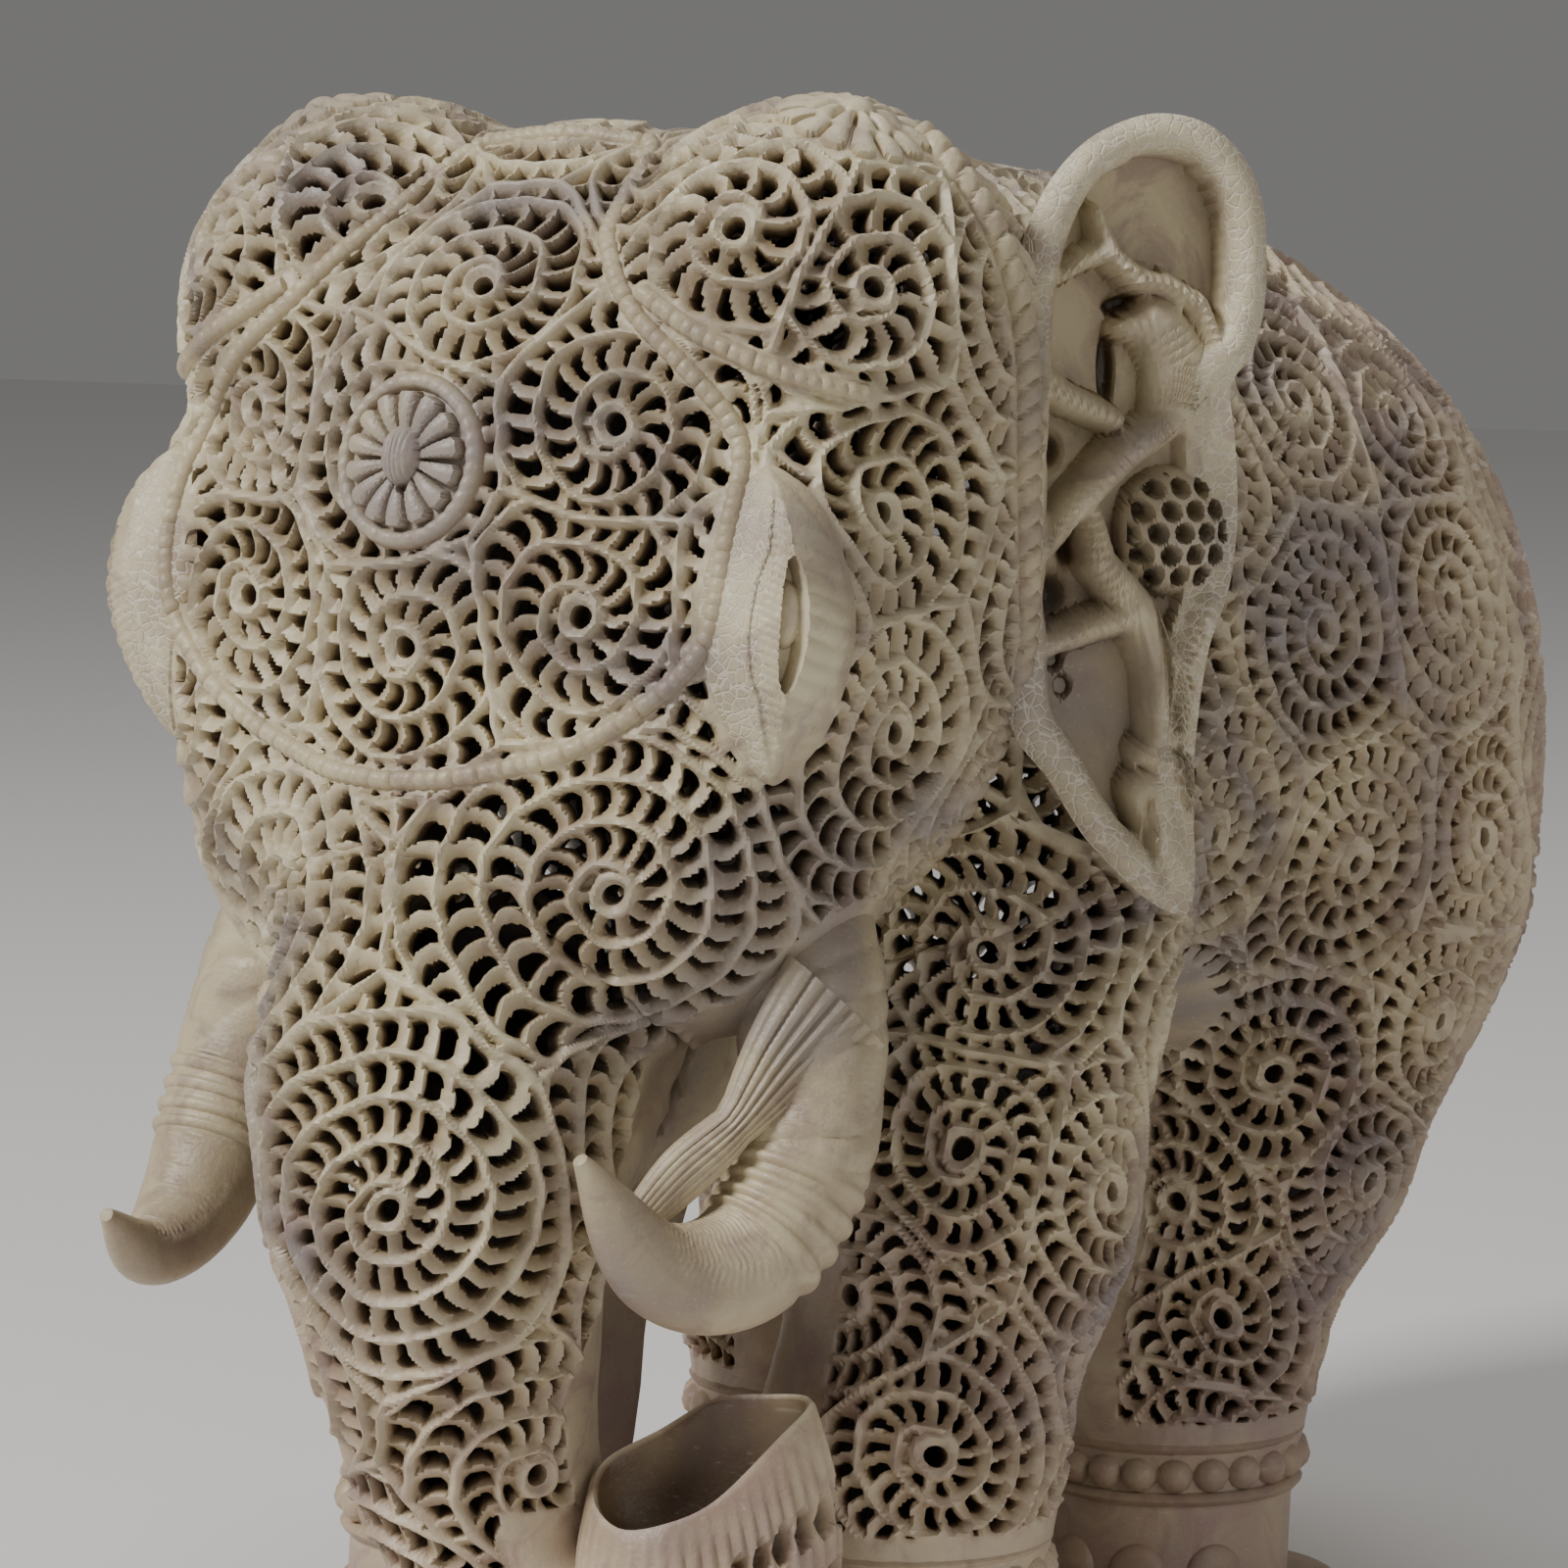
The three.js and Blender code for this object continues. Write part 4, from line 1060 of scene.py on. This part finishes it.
def ear_height(s, z, outline):
    """The ear's front over its sheet: a dish, a rolled rim that fades out low at the back, folds, a bulb and pits."""
    edge = line_distance(s, z, [tuple(q) for q in outline[::4, :2]] + [tuple(outline[0, :2])])
    low_back = np.clip((s - 24) / 8, 0, 1) * np.clip((252 - z) / 8, 0, 1)
    height = EAR_DISH - 1.4 * np.clip(edge / 16, 0, 1) + 1.5 * low_back
    width = EAR_RIM_WIDTH + 2.0 * np.clip((14 - s) / 10, 0, 1)
    rim = -2 + 6.0 * np.sqrt(np.maximum(1 - ((edge / width - 0.45) / 0.55) ** 2, 0))
    rim = np.where(edge < width, rim, -20)
    height = np.maximum(height, rim * (1 - low_back) + (1.2 - edge * 0.25) * low_back)
    for fold in EAR_FOLDS:
        height = -blend_min(-height, -fold_height(s, z, fold), EAR_SOFT)
    (bulb_s, bulb_z), (half_s, half_z), top = EAR_BULB
    gap = np.hypot((s - bulb_s) / half_s, (z - bulb_z) / half_z)
    height = np.maximum(height, dome(gap, top))
    row = np.round((z - bulb_z) / (BULB_PITCH * 0.866))
    across = (s - bulb_s) / BULB_PITCH + 0.5 * (row % 2)
    hole = np.hypot((across - np.round(across)) * BULB_PITCH, z - bulb_z - row * BULB_PITCH * 0.866)
    height = height - 6.5 * np.clip((BULB_HOLE - hole) / 0.5 + 0.5, 0, 1) * (gap < 0.9)
    for (ms, mz), (rs, rz), depth in EAR_PITS:
        gap = np.hypot((s - ms) / rs, (z - mz) / rz)
        height = height - depth * np.clip(1.25 - gap, 0, 1) * (height < 2.5)
    return np.maximum(height, -9.5), edge


def ear(side):
    """A dished leaf: shares of its outline from the middle out over the front, then back in behind."""
    outline, _ = even([(a, b, 0) for a, b in EAR_OUTLINE], 400, True)
    front, back = np.linspace(0, 1, 56), np.linspace(1, 0, 16)[1:]
    share = np.concatenate([front, back])[:, None]
    s = EAR_MIDDLE[0] + (outline[:, 0] - EAR_MIDDLE[0]) * share
    z = EAR_MIDDLE[1] + (outline[:, 1] - EAR_MIDDLE[1]) * share
    height, edge = ear_height(s, z, outline)
    veins = 0.9 * np.abs(np.sin(5 * np.arctan2(z - 232, s + 12)))
    behind = -1 - 11 * np.sqrt(np.clip(1 - share ** 2, 0, 1)) + veins * (share < 0.93)
    is_back = np.arange(len(share))[:, None] >= len(front)
    height = np.where(is_back, behind, height)
    x = EAR_ROOT[0] + math.cos(EAR_TURN) * s + math.sin(EAR_TURN) * height
    y = EAR_ROOT[1] + math.sin(EAR_TURN) * s - math.cos(EAR_TURN) * height
    points = np.stack([side * x, y, z], -1)
    faces = capped_faces(*points.shape[:2])
    # Painted shade: the ear darkens with the depth of its dish, and most in the pits and the bulb's holes
    tone = np.clip(0.45 + (height + 6.5) / 14, -0.5, 0.95) - 1.2 * np.clip(-7.2 - height, 0, 1)
    tone = np.where(is_back, 0.5, tone)
    scales = np.where((edge < EAR_RIM_WIDTH * 0.95) & ~is_back, 1.0, 0.0)
    used = np.unique(faces)
    flat = np.stack([tone, scales * np.ones_like(tone)], -1).reshape(-1, 2)[used]
    points, faces = packed(points.reshape(-1, 3), faces if side > 0 else faces[:, ::-1])
    return points, faces, flat[:, 0], flat[:, 1]


# The open end of the trunk: places on its rim, the floor of the hollow, and the lowest place under it
TIP_RIM = ((24, -95, 58.3), (30, -86, 63), (39.6, -82, 68.9), (50, -79.5, 70.5), (59.5, -80, 70.7), (58, -88, 65),
           (52, -99, 55.5), (46, -107, 52), (37.2, -109, 50.5), (28, -104, 53.5))
TIP_FLOOR = (40, -91, 43)
TIP_UNDER = (34, -91, 12)
TIP_WALL = 1.8


def trunk_tip():
    """A bowl drawn from its rim: inwards each corner nears the floor by a quarter turn, outwards the lowest place."""
    rim, _ = even(TIP_RIM, 240, True)
    angle = np.arange(240) / 240 * 2 * math.pi
    middle = rim.mean(0)
    lip = rim + unit((middle - rim) * (1, 1, 0)) * TIP_WALL
    turn = np.linspace(math.pi / 2, 0, 30)[:, None, None]
    floor, under = np.array(TIP_FLOOR, float), np.array(TIP_UNDER, float)
    level = np.array([0, 0, 1.0])
    inside = (floor + (lip - floor) * np.cos(turn) ** 0.7) * (1 - level)
    inside = inside + (lip + (floor - lip) * np.sin(turn)) * level
    down = np.linspace(0, math.pi / 2, 60)[:, None, None]
    spread = np.cos(down) ** 0.7 * (1 + 0.3 * np.sin(down * 2))
    outside = (under + (rim - under) * spread) * (1 - level) + (rim + (under - rim) * np.sin(down)) * level
    flute = 0.7 * np.abs(np.cos(angle * 20 + 0.6 * down[..., 0])) * np.clip(down[..., 0] * 5, 0, 1)
    for k in range(9):
        for row, start in ((0.30, 0.0), (0.52, 0.5)):
            place = 1.7 + (k + start) * 0.26
            gap = np.hypot((angle[None, :] - place) * 17, (down[..., 0] - row) * 30)
            flute = flute - 3.2 * np.clip((2.1 - gap) / 0.6, 0, 1)
    outward = unit((outside - under) * (1, 1, 0.2))
    outside = outside + outward * flute[..., None]
    top = (lip + rim) / 2 + 0.9 * level
    points = np.concatenate([inside, top[None], outside])
    # Painted shade: the hollow darkens towards its floor, and the pits among the flutes outside are darker; the rim
    # stays pale
    tone = np.concatenate([np.broadcast_to(-0.9 + 0.9 * np.cos(turn[..., 0]), (30, 240)), np.ones((1, 240)),
                           np.clip(0.55 + 0.3 * flute, -0.8, 1)])
    data = np.concatenate([points, tone[..., None]], 2)
    data, faces = packed(data.reshape(-1, 4), capped_faces(*points.shape[:2]))
    return data[:, :3], faces, data[:, 3]


# Materials

def linear(hex_colour):
    """An sRGB hex colour as linear RGBA."""
    parts = [int(hex_colour[i:i + 2], 16) / 255 for i in (1, 3, 5)]
    return (*[c / 12.92 if c <= 0.04045 else ((c + 0.055) / 1.055) ** 2.4 for c in parts], 1)


def add_node(tree, kind, settings=(), **links):
    """A node with its settings, and its inputs linked or set by name."""
    node = tree.nodes.new(kind)
    for key, value in dict(settings).items():
        setattr(node, key, value)
    for key, value in links.items():
        socket = node.inputs[int(key[1:])] if key[1:].isdigit() else node.inputs[key.replace("_", " ")]
        if isinstance(value, bpy.types.NodeSocket):
            tree.links.new(value, socket)
        else:
            socket.default_value = value
    return node


def ramp(tree, factor, *stops):
    """A colour ramp through stops of place and colour."""
    node = tree.nodes.new("ShaderNodeValToRGB")
    elements = node.color_ramp.elements
    while len(elements) < len(stops):
        elements.new(0.5)
    for element, (place, colour) in zip(elements, stops):
        element.position, element.color = place, colour
    tree.links.new(factor, node.inputs["Fac"])
    return node.outputs["Color"]


def grey(value):
    """A grey as linear RGBA."""
    return (value, value, value, 1)


def soapstone_material(values):
    """Soapstone, cut with files and a bow drill and rubbed with oil: a soft grey cream stone with pink and
    violet-grey clouds, darker in the cuts with painted shade and with dust and oil, darkest with painted shade inside
    the skin, and a low gloss on what stands proud."""
    material = bpy.data.materials.new(STONE)
    material.use_nodes = True
    tree = material.node_tree
    shader = tree.nodes["Principled BSDF"]
    place = add_node(tree, "ShaderNodeTexCoord").outputs["Object"]

    def noise(size, detail, roughness=0.55, distortion=0.0):
        return add_node(tree, "ShaderNodeTexNoise", Vector=place, Scale=1 / (size * MM), Detail=detail,
                        Roughness=roughness, Distortion=distortion).outputs["Fac"]

    def mix(blend, factor, a, b):
        return add_node(tree, "ShaderNodeMix", {"data_type": "RGBA", "blend_type": blend}, _0=factor, _6=a,
                        _7=b).outputs[2]

    # Broad pale and violet-grey clouds with pink-brown veins through them, as talc and iron settle in the stone
    clouds, streaks, grain = noise(46, 4.0, 0.5, 0.8), noise(17, 6.0, 0.62, 1.8), noise(0.9, 3.0, 0.7)
    body = ramp(tree, clouds, (0.30, linear(values.shade)), (0.47, linear(values.stone)),
                (0.62, linear(values.cream)), (0.78, linear(values.stone)))
    veins = ramp(tree, streaks, (0.5, grey(0)), (0.68, grey(0.6)))
    colour = mix("MIX", veins, body, linear(values.vein))
    # The stone reddens towards the legs and the rump
    parts = add_node(tree, "ShaderNodeSeparateXYZ", Vector=place)
    low = add_node(tree, "ShaderNodeMapRange", Value=parts.outputs["Z"], From_Min=0.13, From_Max=0.01, To_Min=0.0,
                   To_Max=0.8).outputs[0]
    rear = add_node(tree, "ShaderNodeMapRange", Value=parts.outputs["Y"], From_Min=0.04, From_Max=0.2, To_Min=0.0,
                    To_Max=0.75).outputs[0]
    rosy = add_node(tree, "ShaderNodeMath", {"operation": "MAXIMUM"}, _0=low, _1=rear).outputs[0]
    rosy = add_node(tree, "ShaderNodeMath", {"operation": "MULTIPLY"}, _0=rosy, _1=streaks).outputs[0]
    colour = mix("MIX", rosy, colour, linear(values.rose))
    # Painted shade with dust and oil: the tone attribute darkens what lies low in the cuts and, darkest, the unlit
    # inside of the skin; what stands proud stays pale
    tone = add_node(tree, "ShaderNodeAttribute", {"attribute_name": "tone"}).outputs["Fac"]
    open_tone = add_node(tree, "ShaderNodeMapRange", Value=tone, From_Min=-1.0, From_Max=1.0).outputs[0]
    dust_and_shade = ramp(tree, open_tone, (0.0, linear(values.inside)), (0.45, linear(values.dust_and_shade)), (0.62, linear("#d5cbba")),
                (0.9, grey(1.0)))
    colour = mix("MULTIPLY", 1.0, colour, dust_and_shade)
    # Fine scratches of the file, where the grain is stretched, show as white lines
    scratch_place = add_node(tree, "ShaderNodeMapping", Vector=place, Rotation=(0.4, 0.9, 0.3),
                             Scale=(0.05, 1.0, 1.0)).outputs["Vector"]
    scratch = add_node(tree, "ShaderNodeTexNoise", Vector=scratch_place, Scale=1 / (0.8 * MM), Detail=2.0,
                       Roughness=0.5).outputs["Fac"]
    white = ramp(tree, scratch, (0.62, grey(0)), (0.8, grey(0.2)))
    colour = mix("MIX", white, colour, linear(values.scratch))
    # Fish scales on the ears' rims: cells 1.9 mm wide, with pale lines between
    scales = add_node(tree, "ShaderNodeAttribute", {"attribute_name": "scales"}).outputs["Fac"]
    cells = add_node(tree, "ShaderNodeTexVoronoi", {"feature": "DISTANCE_TO_EDGE"}, Vector=place,
                     Scale=1 / (1.9 * MM)).outputs["Distance"]
    lines = add_node(tree, "ShaderNodeMapRange", Value=cells, From_Min=0.02, From_Max=0.12, To_Min=0.45,
                     To_Max=0.0).outputs[0]
    lines = add_node(tree, "ShaderNodeMath", {"operation": "MULTIPLY"}, _0=lines, _1=scales).outputs[0]
    colour = mix("MIX", lines, colour, linear(values.scratch))
    tree.links.new(colour, shader.inputs["Base Color"])
    # Handling has rubbed a low gloss onto it, uneven from grain to grain
    shader.inputs["IOR"].default_value = 1.55
    gloss = ramp(tree, grain, (0.3, grey(0.36)), (0.7, grey(0.56)))
    tree.links.new(gloss, shader.inputs["Roughness"])
    # The file leaves the surface faintly wavy, so light breaks on the plain parts too
    rough = add_node(tree, "ShaderNodeMath", {"operation": "MULTIPLY"}, _0=noise(3.5, 4.0, 0.6), _1=1.6).outputs[0]
    height = add_node(tree, "ShaderNodeMath", {"operation": "ADD"}, _0=grain, _1=rough).outputs[0]
    cut_lines = add_node(tree, "ShaderNodeMath", {"operation": "MULTIPLY"}, _0=lines, _1=-3.0).outputs[0]
    height = add_node(tree, "ShaderNodeMath", {"operation": "ADD"}, _0=height, _1=cut_lines).outputs[0]
    bumped = add_node(tree, "ShaderNodeBump", Strength=0.5, Distance=0.3 * MM, Height=height)
    tree.links.new(bumped.outputs["Normal"], shader.inputs["Normal"])
    return material


# Settings

class StoneSettings(bpy.types.PropertyGroup):
    """Colours of the stone, as sRGB hex."""
    stone: bpy.props.StringProperty(name="Stone", description="Main colour of the stone", default="#b4a68b")
    cream: bpy.props.StringProperty(name="Cream", description="Palest clouds", default="#d2c6a6")
    shade: bpy.props.StringProperty(name="Shade", description="Violet-grey clouds", default="#918783")
    vein: bpy.props.StringProperty(name="Vein", description="Pink-brown veins", default="#957f77")
    rose: bpy.props.StringProperty(name="Rose", description="Pink of the legs and rump", default="#b58f86")
    # Painted shade and dust: the colour that the tone attribute lays into the cuts
    dust_and_shade: bpy.props.StringProperty(name="Dust", description="Dust and oil in the cuts", default="#9c8d7c")
    inside: bpy.props.StringProperty(name="Inside", description="Unlit stone inside the skin", default="#5d5242")
    scratch: bpy.props.StringProperty(name="Scratch", description="File marks and edges", default="#e6dfcf")


class MeshSettings(bpy.types.PropertyGroup):
    """How finely the carving is built."""
    face_step: bpy.props.FloatProperty(name="Face step", description="Spacing of corners on head and trunk, in mm",
                                       default=0.62, min=0.3, max=4)
    body_step: bpy.props.FloatProperty(name="Body step", description="Spacing of corners on the body, in mm",
                                       default=1.0, min=0.3, max=4)
    leg_step: bpy.props.FloatProperty(name="Leg step", description="Spacing of corners on the legs, in mm",
                                      default=0.85, min=0.3, max=4)


_shared = {}


def shared():
    """The scroll table and the ornament lines, worked out once for all pieces."""
    if not _shared:
        places, normals = [], []
        for name in SPINES:
            data = skin_grid(name, 3.0).reshape(-1, 7)
            own = data[data[:, 6] < 0]
            places.append(own[:, :3])
            normals.append(own[:, 3:6])
        _shared["table"] = scroll_table(np.concatenate(places), np.concatenate(normals))
        _shared["made"] = ornaments()
    return _shared["table"], _shared["made"]


class ELEPHANT_OT_skin(bpy.types.Operator):
    """Builds the pierced skin of body, head, trunk and legs"""
    bl_idname = "elephant.skin"
    bl_label = "Pierced skin"

    def execute(self, context):
        settings = context.scene.elephant_mesh
        table, made = shared()
        for name in SPINES:
            step = {"body": settings.body_step, "head": settings.face_step,
                    "trunk": settings.face_step}.get(name, settings.leg_step)
            for sign, points, faces, tone in skin_shell(name, step, table, made):
                part = name + {1: "_left", -1: "_right", 0: ""}[sign]
                piece = add_piece("skin_" + part, points, faces, tone)
                if part == "body_left":
                    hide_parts("elephant")
        return {"FINISHED"}


class ELEPHANT_OT_bands(bpy.types.Operator):
    """Builds the beaded bands round the brow and under the domes, and the roped edge behind the head"""
    bl_idname = "elephant.bands"
    bl_label = "Bands and roped edge"

    def execute(self, context):
        made = shared()[1]
        parts = [band(made["brow"], True)] + [band(made["dome_" + which], False) for which in ("left", "right")]
        add_piece("brow_bands", *joined(parts))
        add_piece("roped_edges", *joined([rope(made["collar_" + which]) for which in ("left", "right")]))
        return {"FINISHED"}


class ELEPHANT_OT_flowers(bpy.types.Operator):
    """Builds the flower on the brow and those on the domes"""
    bl_idname = "elephant.flowers"
    bl_label = "Flowers"

    def execute(self, context):
        add_piece("flowers", *flowers(shared()[1]))
        return {"FINISHED"}


class ELEPHANT_OT_eyes(bpy.types.Operator):
    """Builds the eyes"""
    bl_idname = "elephant.eyes"
    bl_label = "Eyes"

    def execute(self, context):
        add_piece("eyes", *eyes(shared()[1]))
        return {"FINISHED"}


class ELEPHANT_OT_tusks(bpy.types.Operator):
    """Builds the tusks, the fluted sheaths over their roots, and the open end of the trunk"""
    bl_idname = "elephant.tusks"
    bl_label = "Tusks, sheaths and trunk end"

    def execute(self, context):
        for which, points in TUSKS.items():
            add_piece("tusk_" + which, *tusk(points))
        add_piece("sheaths", *joined([sheath(side) for side in (1, -1)]))
        add_piece("trunk_tip", *trunk_tip())
        return {"FINISHED"}


class ELEPHANT_OT_ears(bpy.types.Operator):
    """Builds the ears"""
    bl_idname = "elephant.ears"
    bl_label = "Ears"

    def execute(self, context):
        for side, which in ((1, "left"), (-1, "right")):
            points, faces, tone, scales = ear(side)
            add_piece("ear_" + which, points, faces, tone, scales)
        return {"FINISHED"}


class ELEPHANT_OT_feet(bpy.types.Operator):
    """Builds the beaded anklets, the nails, the tail and the base"""
    bl_idname = "elephant.feet"
    bl_label = "Anklets, nails, tail and base"

    def execute(self, context):
        add_piece("anklets", *joined([anklet(leg) for leg in LEGS.values()]))
        add_piece("nails", *joined([nails(leg) for leg in LEGS.values()]))
        add_piece("tail", *tail())
        add_piece("base", *base())
        return {"FINISHED"}


# Stage

CAMERA_TARGET = (38, -58, 176)
CAMERA_DISTANCE = 1050
CAMERA_AZIMUTH, CAMERA_ELEVATION = 34, 6.5
CAMERA_LENS = 136.1


class ELEPHANT_OT_stage(bpy.types.Operator):
    """Adds the floor, the studio lights and the camera"""
    bl_idname = "elephant.stage"
    bl_label = "Stage"

    def execute(self, context):
        scene = context.scene
        a, e = math.radians(CAMERA_AZIMUTH), math.radians(CAMERA_ELEVATION)
        back = np.array([math.sin(a) * math.cos(e), -math.cos(a) * math.cos(e), math.sin(e)])
        target = np.array(CAMERA_TARGET) * MM
        camera = bpy.data.objects.new("camera", bpy.data.cameras.new("camera"))
        camera.data.lens = CAMERA_LENS
        camera.data.sensor_width = 36
        camera.data.clip_start, camera.data.clip_end = 0.05, 50
        camera.location = target + back * CAMERA_DISTANCE * MM
        camera.rotation_euler = Vector(-back).to_track_quat("-Z", "Y").to_euler()
        scene.collection.objects.link(camera)
        scene.camera = camera
        floor_mesh = bpy.data.meshes.new("floor")
        floor_mesh.from_pydata([(-4, -4, 0), (4, -4, 0), (4, 4, 0), (-4, 4, 0)], [], [(0, 1, 2, 3)])
        floor = bpy.data.objects.new("floor", floor_mesh)
        paint = bpy.data.materials.new("pale_floor")
        paint.use_nodes = True
        paint.node_tree.nodes["Principled BSDF"].inputs["Base Color"].default_value = linear("#e9e7e4")
        paint.node_tree.nodes["Principled BSDF"].inputs["Roughness"].default_value = 0.8
        floor_mesh.materials.append(paint)
        scene.collection.objects.link(floor)
        for name, where, size, power in (("key", (-0.6, -1.4, 1.5), 0.5, 37), ("fill", (1.7, -0.6, 0.8), 1.0, 5),
                                         ("top", (0.1, 0.6, 1.9), 1.0, 9)):
            light = bpy.data.objects.new(name, bpy.data.lights.new(name, "AREA"))
            light.data.size, light.data.energy = size, power
            light.location = where
            light.rotation_euler = (Vector((0, 0, 0.15)) - Vector(where)).to_track_quat("-Z", "Y").to_euler()
            scene.collection.objects.link(light)
        world = bpy.data.worlds.new("studio")
        world.use_nodes = True
        world.node_tree.nodes["Background"].inputs["Color"].default_value = linear("#f2f1ef")
        world.node_tree.nodes["Background"].inputs["Strength"].default_value = 0.2
        scene.world = world
        return {"FINISHED"}


class ELEPHANT_PT_panel(bpy.types.Panel):
    """Lists the elephant's pieces in the sidebar"""
    bl_label = "Elephant"
    bl_idname = "ELEPHANT_PT_panel"
    bl_space_type = "VIEW_3D"
    bl_region_type = "UI"
    bl_category = "Elephant"

    def draw(self, context):
        for group in (context.scene.elephant_stone, context.scene.elephant_mesh):
            for key in group.bl_rna.properties.keys():
                if key not in ("rna_type", "name"):
                    self.layout.prop(group, key)
        for operator in OPERATORS:
            self.layout.operator(operator.bl_idname)


OPERATORS = (ELEPHANT_OT_skin, ELEPHANT_OT_bands, ELEPHANT_OT_flowers, ELEPHANT_OT_eyes, ELEPHANT_OT_tusks,
             ELEPHANT_OT_ears, ELEPHANT_OT_feet, ELEPHANT_OT_stage)
CLASSES = (StoneSettings, MeshSettings, *OPERATORS, ELEPHANT_PT_panel)


def register():
    for cls in CLASSES:
        bpy.utils.register_class(cls)
    bpy.types.Scene.elephant_stone = bpy.props.PointerProperty(type=StoneSettings)
    bpy.types.Scene.elephant_mesh = bpy.props.PointerProperty(type=MeshSettings)


def unregister():
    del bpy.types.Scene.elephant_mesh
    del bpy.types.Scene.elephant_stone
    for cls in reversed(CLASSES):
        bpy.utils.unregister_class(cls)


def main():
    """Builds the elephant and its stage."""
    register()
    soapstone_material(bpy.context.scene.elephant_stone)
    bpy.ops.elephant.skin()
    bpy.ops.elephant.bands()
    bpy.ops.elephant.flowers()
    bpy.ops.elephant.eyes()
    bpy.ops.elephant.tusks()
    bpy.ops.elephant.ears()
    bpy.ops.elephant.feet()
    bpy.ops.elephant.stage()


if __name__ == "__main__":
    main()
